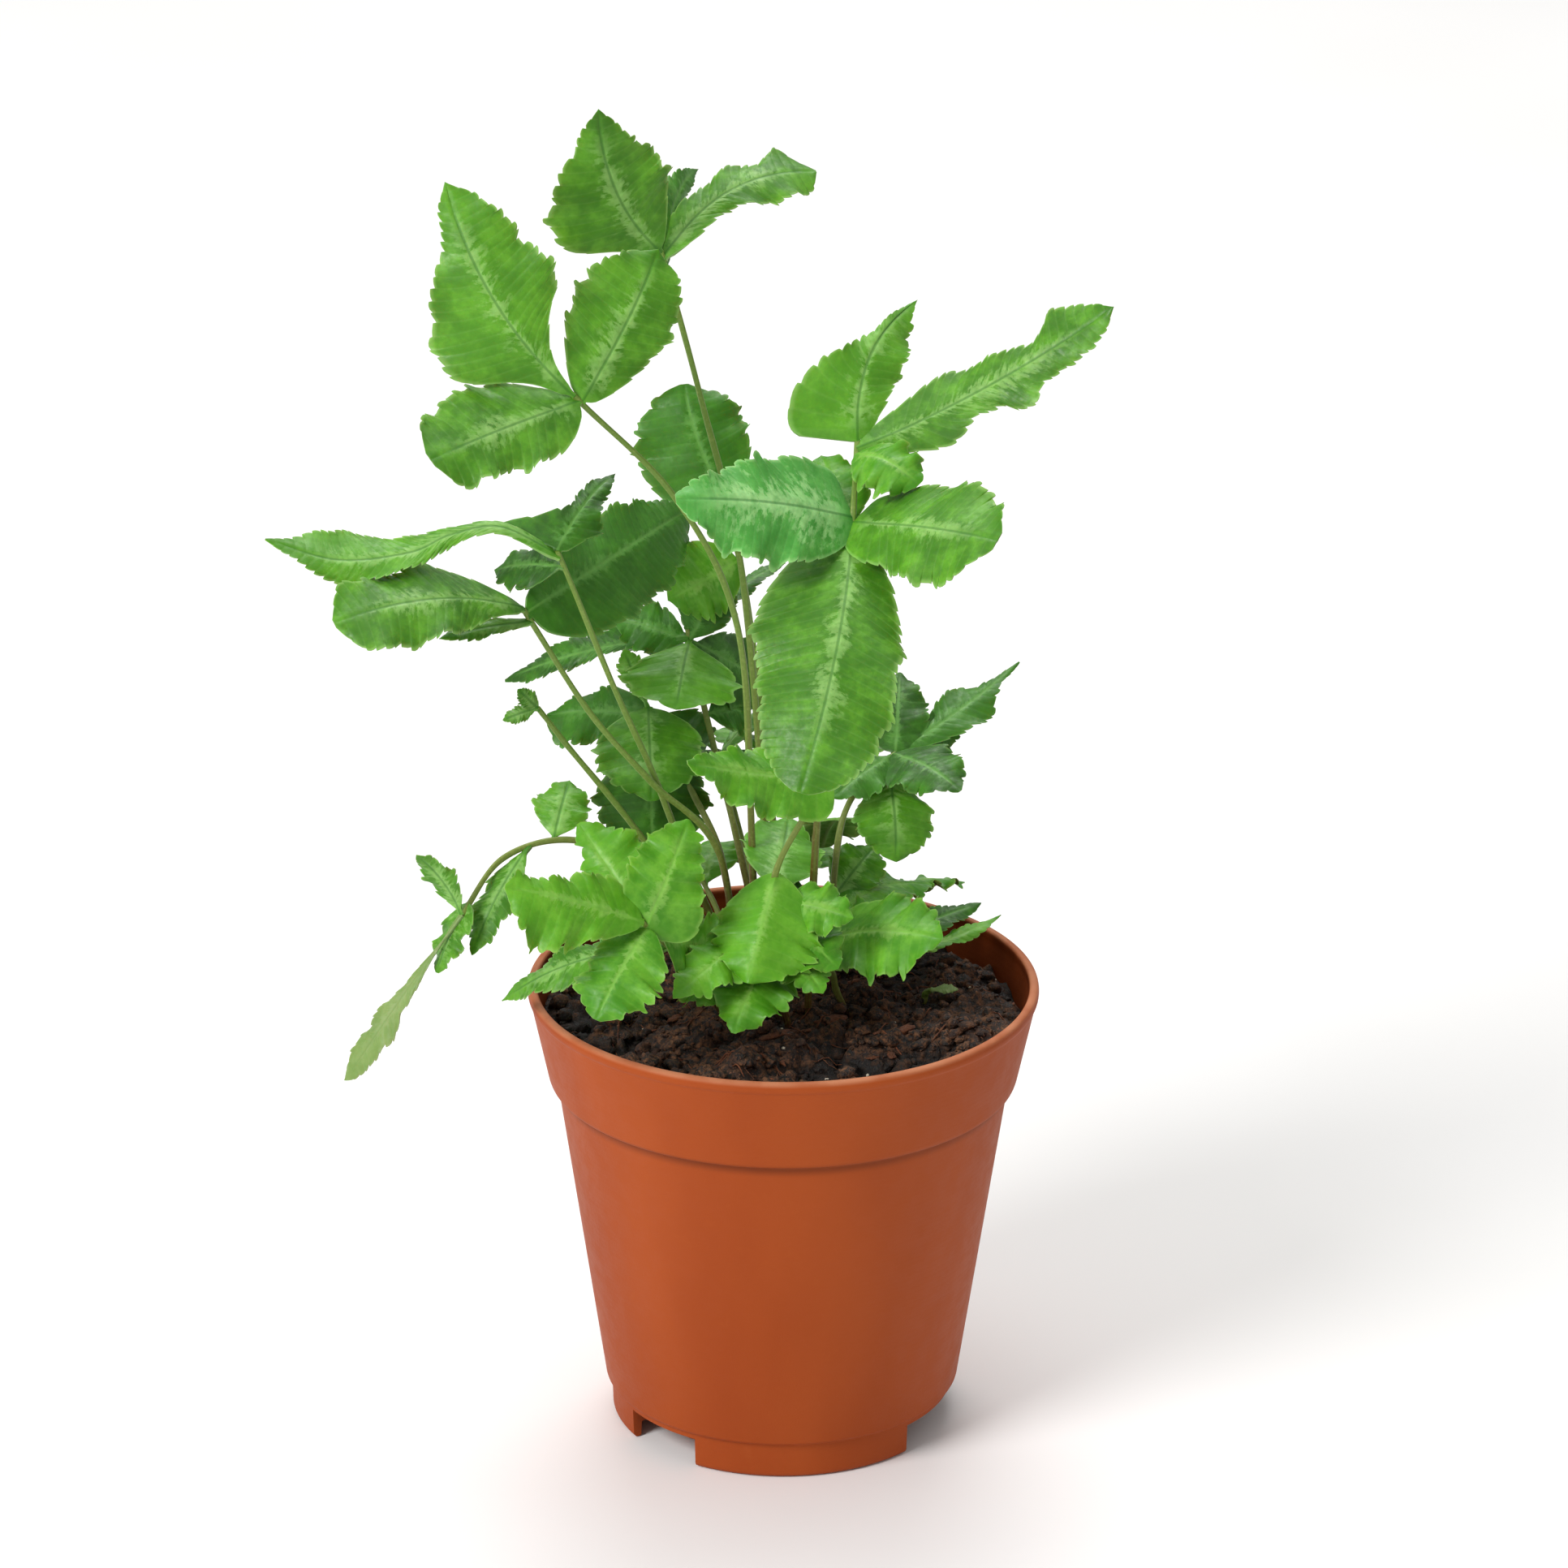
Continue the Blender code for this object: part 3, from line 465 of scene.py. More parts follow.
LEAVES = {
    "leaf": leaf_material("leaf", "3A7310", "50911B", "6EB12D", "ACDB7F", "2C6918", 2.4, 0.52),
    "blue": leaf_material("leaf_bluish", "367C2A", "4C9C3D", "72C35C", "C3F5A6", "2D6C2C", 5.5, 0.62),
    "deep": leaf_material("leaf_deep", "26540A", "356F12", "4C8F1F", "7EBA5C", "6DA34A", 1.6, 0.45),
    "young": leaf_material("leaf_young", "418611", "5A9F1B", "7ABB35", "A6D26B", "7BB841", 1.5, 0.5),
    "pale": leaf_material("leaf_pale", "66863B", "7D9951", "8DA463", "A3B082", "77934D", 1.2, 0.35),
}
STIPES = {
    "olive": stipe_material("stipe_olive", "66481E", "6C8A32"),
    "brown": stipe_material("stipe_brown", "563014", "76863A"),
}


# ---------------------------------------------------------------- leaflets and stipes
# What each colour of leaflet has: ruffle (mm), waves along it, tooth depth (mm), how round the teeth are
# (0 sawn, 1 scalloped), lobe depth (share of width)
HABITS = {
    "leaf": dict(ruffle=1.0, waves=2.6, tooth=0.85, round=0.4, lobes=0.07),
    "blue": dict(ruffle=1.3, waves=3.2, tooth=0.9, round=0.5, lobes=0.09),
    "deep": dict(ruffle=1.0, waves=2.4, tooth=0.85, round=0.4, lobes=0.08),
    "young": dict(ruffle=1.3, waves=3.4, tooth=0.9, round=0.7, lobes=0.10),
    "pale": dict(ruffle=0.8, waves=3.0, tooth=0.6, round=0.4, lobes=0.12),
}
# Leaflets that differ from their colour's habit. left and right, or both, are (place along, half width)
# stations on the sides of the rib, seen with the tip up. shift moves the tip, through bends the rib past
# points, heart sets the base's lobes back, and face, arch, sway and fold stand in for the row's own
QUIRKS = {
    "tall_left": dict(
        left=((.06, .5), (.2, 6.3), (.3, 13), (.4, 15), (.5, 14), (.6, 12.3), (.7, 9), (.8, 5.2),
              (.9, 3.2), (1, 0)),
        right=((.06, .5), (.2, 6.5), (.4, 11), (.6, 10.6), (.8, 6), (.9, 3.6), (1, 0))),
    "tall_right": dict(
        face=(-.15, -.6, .8), shift=(.8, 0, -1), sway=-3.6, ruffle=.7, waves=3.2,
        left=((.06, .8), (.2, 4.5), (.4, 5), (.6, 6), (.75, 5.2), (.86, 8.3), (.95, 5), (1, .5)),
        right=((.06, .8), (.2, 3.2), (.4, 3.4), (.6, 6), (.8, 6.8), (.88, 6), (.95, 4.5), (1, .5))),
    "tall_rear": dict(
        sway=-4.5, both=((.06, .5), (.4, 4), (.7, 2.6), (1, 0))),
    "left_high_end": dict(
        left=((.06, .4), (.2, 5.3), (.3, 14), (.4, 16), (.5, 14.2), (.6, 11.2), (.7, 7), (.8, 3.8),
              (.9, 2.7), (1, 0)),
        right=((.06, .4), (.2, 2.5), (.3, 6.7), (.4, 11.6), (.48, 14), (.6, 11.5), (.7, 10.3),
              (.8, 9), (.9, 6), (1, 0))),
    "left_high_right": dict(
        left=((.04, .8), (.2, 7.2), (.4, 11.1), (.6, 11.6), (.8, 8.9), (.9, 6), (1, 0)),
        right=((.04, .8), (.2, 5.2), (.4, 8.2), (.6, 9.6), (.8, 7.9), (.9, 5.9), (1, 0))),
    "left_high_left": dict(
        right=((.04, .8), (.2, 7), (.4, 12.3), (.6, 12.5), (.8, 10.7), (.93, 8), (1, 2)),
        left=((.04, .8), (.2, 7.5), (.4, 9.7), (.6, 8.6), (.8, 8.5), (.93, 6.5), (1, 2))),
    "rear_end": dict(
        left=((.02, 1), (.1, 9.5), (.2, 12), (.4, 13), (.6, 12.5), (.8, 9.5), (.9, 6.5), (1, 1)),
        right=((.02, 1), (.1, 7), (.2, 9.5), (.4, 10.5), (.6, 10.5), (.8, 8.5), (.9, 6), (1, 1))),
    "rear_low": dict(
        left=((.04, .8), (.2, 5.5), (.5, 8), (.8, 6), (1, 0)),
        right=((.04, .8), (.2, 6), (.4, 8.5), (.6, 9), (.8, 7), (1, 0))),
    "right_high_end": dict(
        left=((.01, 1), (.05, 9), (.1, 12.5), (.2, 13.5), (.3, 11.4), (.4, 8.2), (.5, 5), (.6, 2.6),
              (.8, 1.2), (1, 0)),
        right=((.03, .6), (.1, 2.6), (.2, 4.8), (.4, 7), (.6, 7), (.8, 4.2), (.92, 1.5), (1, 0))),
    "right_high_right": dict(
        face=(-.3, -.65, .7), ruffle=.7, waves=3.6,
        left=((.04, .8), (.2, 5.5), (.4, 8.2), (.5, 6.5), (.6, 6), (.7, 4.5), (.8, 8), (.9, 6), (1, 0)),
        right=((.04, .8), (.2, 5.5), (.3, 7.5), (.4, 5), (.5, 5.2), (.6, 8.6), (.68, 5.5), (.8, 5),
              (.9, 4.3), (1, 0))),
    "right_high_front": dict(
        face=(.3, -.75, .6), left=((.04, .8), (.3, 5), (.6, 5.5), (.85, 4), (1, 1)),
        right=((.04, .8), (.3, 6.5), (.6, 7.4), (.85, 5.5), (1, 1))),
    "right_high_low_left": dict(
        right=((.02, 1.5), (.08, 8.5), (.2, 11.5), (.4, 11.2), (.6, 9.6), (.7, 7.5), (.8, 5.6),
              (.9, 4), (1, 1)),
        left=((.02, 1.5), (.1, 5.5), (.2, 9), (.4, 11.8), (.6, 12), (.8, 9.5), (.9, 6), (1, 1))),
    "right_high_low_right": dict(
        shift=(-1.5, 0, 1),
        left=((.02, 1.5), (.08, 6), (.2, 9.5), (.4, 12), (.6, 13.2), (.8, 10.5), (.9, 8), (1, 2)),
        right=((.02, 1.5), (.08, 5), (.2, 8.5), (.4, 10), (.6, 12.4), (.8, 11), (.9, 8.5), (1, 2))),
    "right_high_low_front": dict(
        sway=-2.4, lobes=.05,
        right=((.03, .8), (.1, 8), (.2, 14), (.4, 17.5), (.6, 15), (.8, 11.5), (.9, 9), (.97, 5), (1, 1.5)),
        left=((.03, .8), (.1, 3), (.2, 7.5), (.4, 11.8), (.6, 13), (.8, 12), (.9, 9.5), (.97, 5),
              (1, 1.5))),
    "left_mid_left": dict(
        right=((.05, .8), (.2, 5.5), (.4, 10.5), (.6, 9.7), (.8, 8.8), (.93, 7.5), (1, 1)),
        left=((.05, .8), (.2, 3.5), (.4, 7.7), (.6, 9.5), (.8, 9.5), (.93, 7.5), (1, 1))),
    "left_mid_front": dict(
        shift=(-1.3, 0, 2.6), both=((.05, .6), (.3, 1.8), (.6, 2.4), (.8, 1.8), (1, 0))),
    "left_mid_rear": dict(
        left=((.05, 1), (.2, 6), (.4, 9), (.6, 8.8), (.8, 6.5), (.9, 4), (1, 0)),
        right=((.04, 1.5), (.12, 7), (.2, 10.5), (.4, 12.5), (.6, 11.5), (.8, 8.5), (.9, 5), (1, 0))),
    "left_long_end": dict(
        sway=-.8, left=((.03, .8), (.08, 12.5), (.14, 12.5), (.22, 8.5), (.3, 5), (.4, 2.8),
              (.6, 2.6), (.8, 2), (1, 0)),
        right=((.03, .8), (.1, 2), (.2, 3.8), (.35, 6), (.5, 4), (.6, 2.9), (.8, 2.1), (1, 0))),
    "left_long_left": dict(
        through=((-56, -14, 111), (-66, -16, 110), (-74, -18, 107), (-88, -21, 106.5)),
        right=((.02, .8), (.15, 1.6), (.35, 1.9), (.5, 4), (.6, 6.8), (.75, 8), (.86, 6), (.94, 2.4),
              (1, .2)),
        left=((.02, .8), (.15, 1.6), (.35, 2.2), (.5, 3.6), (.6, 4.6), (.75, 5), (.86, 3.6),
              (.94, 1.6), (1, .2))),
    "middle_left": dict(
        shift=(0, 0, -1),
        right=((.05, 1), (.3, 5), (.6, 5), (.8, 3), (1, 0)),
        left=((.05, .8), (.3, 1.5), (.6, 3), (.8, 3.5), (1, .5))),
    "middle_right": dict(
        left=((.04, 1), (.15, 4.5), (.3, 5.5), (.45, 4.5), (.6, 3), (.8, 1.9), (1, 0)),
        right=((.05, .8), (.2, 2.6), (.4, 3.2), (.6, 2.5), (.8, 1.6), (1, 0))),
    "front_left_left": dict(
        right=((.05, .8), (.2, 6.8), (.4, 7.2), (.6, 4.8), (.8, 3.2), (.92, 3.4), (1, .5)),
        left=((.05, .8), (.2, 4.5), (.4, 8), (.6, 11), (.75, 11.3), (.85, 8.5), (.93, 4), (1, .5))),
    "front_left_right": dict(
        heart=2.5, left=((.05, .8), (.2, 5.7), (.4, 8), (.6, 7.5), (.8, 5.4), (.9, 3.5), (1, .5)),
        right=((.04, .8), (.1, 7), (.2, 10.2), (.3, 9.8), (.4, 8.5), (.6, 6.6), (.8, 4.8), (.9, 3),
              (1, .5))),
    "front_left_low": dict(
        right=((.04, .8), (.12, 3.5), (.2, 5), (.4, 7), (.55, 6.2), (.7, 7.8), (.8, 6.8), (.9, 4.6),
              (1, .8)),
        left=((.04, .8), (.2, 5.6), (.35, 8.8), (.45, 8.2), (.6, 9.2), (.7, 8), (.8, 6.4), (.9, 4.5),
              (1, .8))),
    "front_left_rear": dict(
        shift=(.7, 0, -2),
        left=((.05, .8), (.2, 5), (.4, 5), (.6, 4.8), (.7, 4.5), (.78, 2.6), (.9, 2.6), (1, .5)),
        right=((.05, .8), (.2, 6), (.4, 8.5), (.6, 9.2), (.8, 6), (.9, 3.8), (1, .5))),
    "front_left_trailing": dict(
        arch=4.0, both=((.05, .8), (.3, 5), (.6, 5), (.8, 3.5), (1, 0))),
    "front_right": dict(
        shift=(-3, -2, -7), fold=24, heart=1.5,
        left=((.04, .8), (.2, 8.5), (.4, 12.5), (.6, 13), (.8, 10), (.9, 7), (1, 1)),
        right=((.04, .8), (.2, 7), (.4, 10), (.6, 10.5), (.8, 8), (.9, 5.5), (1, 1))),
    "front_end": dict(
        right=((.03, 1.5), (.1, 5), (.3, 6.5), (.6, 6), (.8, 4), (1, .5)),
        left=((.03, 1.5), (.1, 7), (.3, 9.5), (.6, 8.5), (.8, 5.5), (1, .5))),
    "inner_left_left": dict(
        left=((.05, 1), (.2, 4), (.4, 6), (.6, 7.5), (.8, 7.5), (.93, 5), (1, 1)),
        right=((.05, 1), (.2, 5), (.4, 6.5), (.6, 5.5), (.8, 3), (1, .5))),
    "inner_left_end": dict(
        shift=(0, 0, -6), left=((.04, 1), (.2, 8), (.5, 11), (.8, 8), (1, 1)),
        right=((.04, 1), (.2, 8), (.5, 11.5), (.8, 8), (1, 1))),
    "right_low_rear": dict(
        shift=(4, 0, -3), left=((.04, 1), (.2, 6), (.5, 8), (.8, 5), (1, .5)),
        right=((.04, 1), (.2, 5), (.5, 6.5), (.8, 4), (1, .5))),
    "right_low_front": dict(
        both=((.04, 1), (.2, 6.5), (.5, 8), (.8, 5), (1, .5))),
    "left_trailing_low": dict(
        shift=(-4, 0, 3), both=((.04, .8), (.2, 4), (.5, 5), (.8, 3.5), (1, .5))),
    "left_trailing_inner": dict(shift=(-4, 0, 3)),
    "left_trailing_end": dict(sway=-1.6),
    "front_low": dict(
        right=((.04, .8), (.2, 5.5), (.4, 8), (.6, 7.8), (.8, 5.4), (1, .5)),
        left=((.04, .8), (.2, 5.5), (.4, 8.8), (.6, 8), (.8, 5.6), (1, .5))),
    "right_short_front": dict(
        heart=2.0, left=((.04, .8), (.12, 6), (.2, 8), (.4, 10), (.6, 10), (.8, 8), (.9, 5.5), (1, .5)),
        right=((.04, .8), (.2, 6.7), (.4, 9.6), (.6, 11), (.8, 9), (.9, 6), (1, .5))),
    "right_short_rear": dict(sway=-3.0, shift=(0, 0, -1.5)),
    "right_short_low": dict(
        sway=2.5, both=((.05, .5), (.4, 1.2), (.7, 2), (.85, 1.7), (1, 0))),
    "right_low_right": dict(
        left=((.05, .8), (.3, 4.4), (.45, 6), (.6, 5.2), (.72, 2.2), (.8, 1), (.9, .7), (1, .2)),
        right=((.05, .8), (.3, 4.4), (.45, 5.6), (.6, 4.8), (.72, 2.2), (.8, 1), (.9, .7), (1, .2))),
}
# Leaflets that have no solid in the CAD, by the frond that carries them, in rows as in FRONDS
EXTRA_LEAFLETS = {
    "left_long": (("back", 4.0, (-58, -3, 98), (0.0, -.6, .8), 12, 1.5, 0.0, 10, .45, "deep"),),
    "left_trailing": (
        ("upper", 0.0, (-74, -14, 41), (-.6, -.7, .3), 7, -1.5, 0.0, 8, .5, "leaf"),
        ("rear", 27.0, (-44, 12, 47), (0.0, -.6, .8), 12, 1.5, 0.0, 10, .5, "leaf")),
    "right_low": (
        ("inner", 3.0, (10, 8, 45), (0.0, -.6, .8), 11, 1.5, 0.0, 10, .5, "deep"),
        ("back", 22.0, (8, 33, 24), (0.0, .1, .95), 14, 2.5, 0.0, 8, .5, "young"),
        ("broad", 0.0, (37, 38, 50), (-.1, -.8, .5), 9, 1.5, 0.0, 8, .45, "deep"),
        ("foot", 39.0, (19, 22, 29), (0.0, -.7, .6), 12, 1.5, 0.0, 8, .5, "leaf")),
    "middle": (
        ("low", 18.0, (-7, 27, 57), (0.1, -.7, .7), 11, 1.5, 0.0, 8, .5, "deep"),
        ("rear", 8.0, (-34, 44, 66), (0.0, .3, .9), 15, 2.0, 0.0, 8, .5, "deep"),
        ("nook", 2.5, (-35, 30, 76), (0.0, -.7, .7), 12, 1.0, 0.0, 8, .5, "deep"),
        ("up", 2.5, (-14, 31, 86), (0.0, -.7, .7), 13, 1.5, 0.5, 8, .5, "deep"),
        ("side", 2.5, (-2, 34, 57), (0.2, -.6, .8), 17, 2.0, 0.0, 8, .5, "deep")),
    "inner_left": (
        ("rear", 5.0, (-38, 38, 47), (0.0, .2, .95), 13, 2.0, 0.0, 8, .5, "deep"),
        ("hang", 3.5, (-27, 16, 29), (0.0, -.9, .4), 24, 2.0, 0.5, 8, .55, "deep"),
        ("hang_left", 1.5, (-33, 24, 39), (-.1, -.8, .5), 12, 2.0, 0.0, 8, .5, "deep"),
        ("hang_right", 1.5, (-17, 26, 44), (0.2, -.8, .5), 17, 2.5, 0.0, 8, .5, "deep"),
        ("bud", 0.0, (-33, 22, 72), (0.0, -.8, .5), 6, 0.5, 0.0, 6, .6, "leaf")),
    "right_short": (
        ("back", 8.0, (41, 20, 17), (0.0, -.4, .9), 7, 1.5, 0.0, 8, .6, "deep"),
        ("under", 3.0, (22, 2, 22), (0.0, -.5, .85), 15, 2.0, 0.0, 10, .5, "young")),
    "front": (
        ("inner", 33.0, (14, -22, 31), (0.1, -.6, .8), 13, 2.0, 0.0, 10, .5, "young"),
        ("mid", 34.0, (5, -8, 30), (0.1, -.7, .7), 18, 1.5, 0.0, 8, .5, "deep"),
        ("side", 36.0, (11, -27, 22), (0.1, -.6, .8), 15, 2.0, 0.0, 10, .5, "young"),
        ("behind", 31.0, (1, 10, 40), (0.1, -.8, .5), 17, 1.5, 0.0, 8, .5, "leaf")),
    "front_left": (
        ("inner", 16.0, (-4, -19, 27), (0.1, -.7, .7), 13, 1.5, 0.0, 10, .5, "young"),
        ("base", 27.0, (-14, -27, 14), (-.1, -.6, .8), 12, 2.0, 0.0, 10, .5, "young"),
        ("under", 8.0, (-17, -20, 22), (0.0, -.7, .7), 17, 2.0, 0.0, 10, .5, "young")),
    "right_high": (("fill", 20.0, (7, -8, 124), (0.0, -.8, .5), 15, 1.5, 0.0, 8, .5, "young"),),
}
# Low and thin fronds that have no solid in the CAD, and a sprout
EXTRA_FRONDS = (
    ("left_wisp", "olive", ((-6, 8, 2.5), (-20, 6, 24), (-33, 4, 43), (-44, 4, 58), (-50, 4, 66)), (
        ("end", 0.0, (-57, 2, 64), (0.0, -.6, .8), 4, 0.3, 0.0, 8, .5, "leaf"),
        ("top", .6, (-54, 4, 70), (0.1, -.8, .5), 4, 0.3, 0.0, 8, .5, "leaf"))),
    ("back", "brown", ((2, 16, 2.5), (6, 22, 18), (6, 29, 33), (3, 36, 43)), (
        ("left", 0.0, (-18, 46, 45), (0.0, .3, .95), 15, 2.0, 0.0, 8, .5, "leaf"),
        ("right", 1.6, (24, 47, 41), (0.0, .35, .93), 15, 2.0, 0.0, 8, .5, "leaf"),
        ("end", 2.6, (3, 51, 30), (0.0, .5, .86), 14, 2.0, 0.0, 8, .5, "young"))),
    ("back_low", "brown", ((-7, 17, 2.5), (-13, 23, 12), (-17, 27, 19)), (
        ("left", 0.0, (-38, 34, 17), (0.0, .1, .95), 15, 2.5, 0.0, 8, .5, "young"),
        ("right", 1.4, (-14, 46, 20), (0.0, .3, .93), 14, 2.5, 0.0, 8, .5, "young"))),
    ("back_right", "brown", ((8, 14, 2.5), (15, 22, 10), (21, 29, 16)), (
        ("left", 0.0, (4, 44, 20), (0.0, .3, .95), 14, 2.0, 0.0, 8, .5, "leaf"),
        ("right", 1.4, (38, 36, 15), (0.0, .3, .93), 14, 2.0, 0.0, 8, .5, "young"),
        ("end", 2.4, (24, 46, 10), (0.0, .4, .9), 13, 2.0, 0.0, 8, .5, "young"))),
    ("back_mid", "brown", ((-3, 16, 2.5), (-8, 24, 26), (-14, 32, 46)), (
        ("left", 0.0, (-31, 43, 50), (0.0, .4, .9), 16, 2.0, 0.0, 8, .5, "deep"),
        ("right", 1.6, (3, 46, 55), (0.0, .4, .9), 16, 2.0, 0.0, 8, .5, "leaf"),
        ("end", 2.6, (-13, 50, 38), (0.0, .5, .86), 14, 2.0, 0.0, 8, .5, "leaf"))),
    ("sprout", "olive", ((29, 6, 1.0), (29.5, 5, 3.2), (30.5, 3.5, 4.4)), (
        ("end", 0.0, (36, 2.5, 5), (0.0, -.5, .9), 2.4, 0.5, 0.0, 8, .5, "pale"),)),
)


def blade_points(root, tip, face, width, arch, sway, fold, widest, habit, rng):
    """Rows of points over a leaflet, with the marks that its material reads."""
    tip = tip + np.array(habit.get("shift", (0, 0, 0)), float)
    face = np.array(habit.get("face", face), float)
    arch, sway, fold = (habit.get(k, v) for k, v in (("arch", arch), ("sway", sway), ("fold", fold)))
    along = unit(tip - root)
    across = unit(np.cross(along, face))
    normal = np.cross(across, along)
    bend = (root + tip) / 2 + normal * 2 * arch + across * 2 * sway
    if "through" in habit:
        line = np.array(smooth_path([root, *map(raised, habit["through"]), tip], 16))
    else:
        s = np.linspace(0, 1, 60)[:, None]
        line = (1 - s) ** 2 * root + 2 * s * (1 - s) * bend + s ** 2 * tip
    run = np.concatenate(([0], np.cumsum(np.linalg.norm(np.diff(line, axis=0), axis=1))))
    length = run[-1]
    teeth = max(9, int(round(length * 0.93 / TOOTH)))
    vein = np.array([k + stop for k in range(teeth) for stop in TOOTH_STOPS] + [teeth], float)
    t_row = STALK_SHARE + (1 - STALK_SHARE) * vein / teeth
    stalk = np.linspace(0, STALK_SHARE, 5)[:-1]
    t_row, vein = np.concatenate((stalk, t_row)), np.concatenate((np.zeros(4), vein))

    columns = np.array([-c for c in COLUMNS[:0:-1]] + list(COLUMNS))
    c = columns[None, :]
    side = np.abs(c)
    t0 = t_row[:, None]
    lean = VEIN_LEAN * smoothstep(STALK_SHARE, 0.25, t0) * (1 - t0)
    t = np.clip(t0 + lean * side, 0, 1)

    power = math.log(0.5) / math.log(widest)

    def half_width(at, stations):
        if stations:
            early = 0.055 * (1 - smoothstep(0.0, 0.35, at)) * smoothstep(0.0, 0.04, at)
            return np.clip(through(stations, at + early), 0.0, None)
        u = np.clip((at - STALK_SHARE) / (1 - STALK_SHARE), 0, 1)
        return np.maximum(np.sin(np.pi * u ** power) ** 0.8 * width / 2, 0.0)

    stalk_half = 0.45 * (1 - smoothstep(STALK_SHARE, 0.2, t)) + 0.04
    left, right = (habit.get(key, habit.get("both")) for key in ("left", "right"))
    half = np.where(c < 0, half_width(t, left), half_width(t, right))
    half = np.maximum(half, stalk_half)
    phase = {s: rng.uniform(0, 2 * math.pi) for s in (-1, 1)}
    ripple = {s: rng.uniform(0, 2 * math.pi) for s in (-1, 1)}
    size = {s: np.array([rng.uniform(0.55, 1.25) for _ in range(teeth + 2)]) for s in (-1, 1)}
    sign = np.where(c < 0, -1, 1)
    lobed = np.zeros_like(t)
    wave = np.zeros_like(t)
    bite = np.zeros_like(t)
    k = np.minimum(np.floor(vein).astype(int), teeth)
    frac = (vein - np.floor(vein))[:, None]
    scallop = 0.9 * np.sin(np.pi * frac) ** 0.6
    for s in (-1, 1):
        mine = sign == s
        lobe = np.sin(2 * np.pi * (habit["waves"] * 1.7 * t0) + phase[s])
        lobe = 0.6 * lobe + 0.6 * np.sin(2 * np.pi * (habit["waves"] * 2.9 * t0) + 2.3 * phase[s])
        lobed += mine * habit["lobes"] * lobe * smoothstep(0.15, 0.4, t0)
        wave += mine * np.sin(2 * np.pi * habit["waves"] * t0 + ripple[s]) * smoothstep(0.08, 0.35, t0)
        tall = size[s][k][:, None]
        saw = ((1 - habit["round"]) * (frac / TOOTH_STOPS[-1]) ** 1.25 + habit["round"] * scallop) * tall
        bite += mine * saw
    grown = smoothstep(0.1, 0.25, t) * np.clip((1 - t) * 9, 0, 1) * np.clip(half / 3.0, 0.25, 1)
    rim = smoothstep(0.66, 1.0, side)
    bite = bite * grown * rim
    reach = side * half * (1 + lobed * side) + (bite - 0.5 * rim * grown) * habit["tooth"]

    def read(values, at):
        return np.stack([np.interp(at * length, run, values[:, k]) for k in range(3)], axis=-1)

    way = read(np.gradient(line, run, axis=0), t)
    way /= np.linalg.norm(way, axis=-1, keepdims=True)
    lateral = across - way * (way @ across)[..., None]
    lateral /= np.linalg.norm(lateral, axis=-1, keepdims=True)
    up = np.cross(lateral, way)

    slope = math.radians(fold)
    lift = -reach * math.sin(slope)
    lift = lift + habit["ruffle"] * wave * side ** 2 * np.clip(half / 5, 0, 1)
    puff = np.sin(np.pi * frac) * np.sin(np.pi * np.clip(side * 1.02, 0, 1)) ** 0.6
    lift = lift + QUILTING * puff * grown
    dent = np.exp(-(side * half / 0.45) ** 2) * smoothstep(0.1, 0.2, t) * np.clip(half / 3, 0, 1)
    lift = lift - RIB_DENT * dent
    spread = (np.sign(c) * reach * math.cos(slope))[..., None]
    points = read(line, t) + lateral * spread + up * lift[..., None]
    back = habit.get("heart", 0.0) * side * (1 - smoothstep(STALK_SHARE, 0.38, t0))
    points += way * (bite * 0.45 - back)[..., None]

    thick = EDGE_THICKNESS + (BLADE_THICKNESS - EDGE_THICKNESS) * (1 - side ** 3)
    thick = thick + (STALK_THICKNESS - BLADE_THICKNESS) * (1 - smoothstep(0.03, 0.14, t))
    ridge = RIB_RIDGE * np.exp(-(side * half / 0.4) ** 2) * (1 - smoothstep(0.5, 1.0, t))
    upper = points + up * (thick / 2)[..., None]
    lower = points - up * (thick / 2 + ridge)[..., None]

    def on_both(values):
        values = np.broadcast_to(values, t.shape).reshape(-1)
        return np.concatenate((values, values))

    marks = {
        "vein": np.stack((on_both(vein[:, None]), on_both(c), on_both(t)), 1),
        "from_rib": on_both(side * half),
        "tone": np.full(2 * t.size, rng.random()),
        "under": np.concatenate((np.zeros(t.size), np.ones(t.size))),
    }
    return np.concatenate((upper.reshape(-1, 3), lower.reshape(-1, 3))), sheet_faces(*t.shape), marks


def add_leaflet(owner, leaflet, path, node=True):
    name, back, tip, face, width, arch, sway, fold, widest, colour = leaflet
    full = f"{owner}_{name}"
    rng = random.Random(full)
    habit = {**HABITS[colour], **QUIRKS.get(full, {})}
    root = point_back(path, back) if back else path[-1]
    points, faces, marks = blade_points(root, raised(tip), np.array(face, float), width, arch, sway, fold,
                                        widest, habit, rng)
    new_piece(f"blade_{full}", points, faces, LEAVES[colour],
              f"leaflet_{full}" if node else None, marks, crease=60)


def tube(path, radii, sides, groove=0.0):
    """A closed tube along the path, with a shallow groove down one side."""
    rings, marks = [], []
    reference = np.array((0.0, -1.0, 0.0))
    for i, (point, radius) in enumerate(zip(path, radii)):
        way = unit(path[min(i + 1, len(path) - 1)] - path[max(i - 1, 0)])
        first = unit(reference - way * (reference @ way))
        second = np.cross(way, first)
        for j in range(sides):
            a = 2 * math.pi * j / sides
            r = radius * (1 - groove * max(0.0, math.cos(a)) ** 6)
            rings.append(point + (first * math.cos(a) + second * math.sin(a)) * r)
            marks.append((i / (len(path) - 1), j / sides, 0.0))
    faces = grid_faces(len(path), sides, wrap=True)
    faces.append(tuple(reversed(range(sides))))
    faces.append(tuple(range((len(path) - 1) * sides, len(path) * sides)))
    return np.array(rings), faces, marks


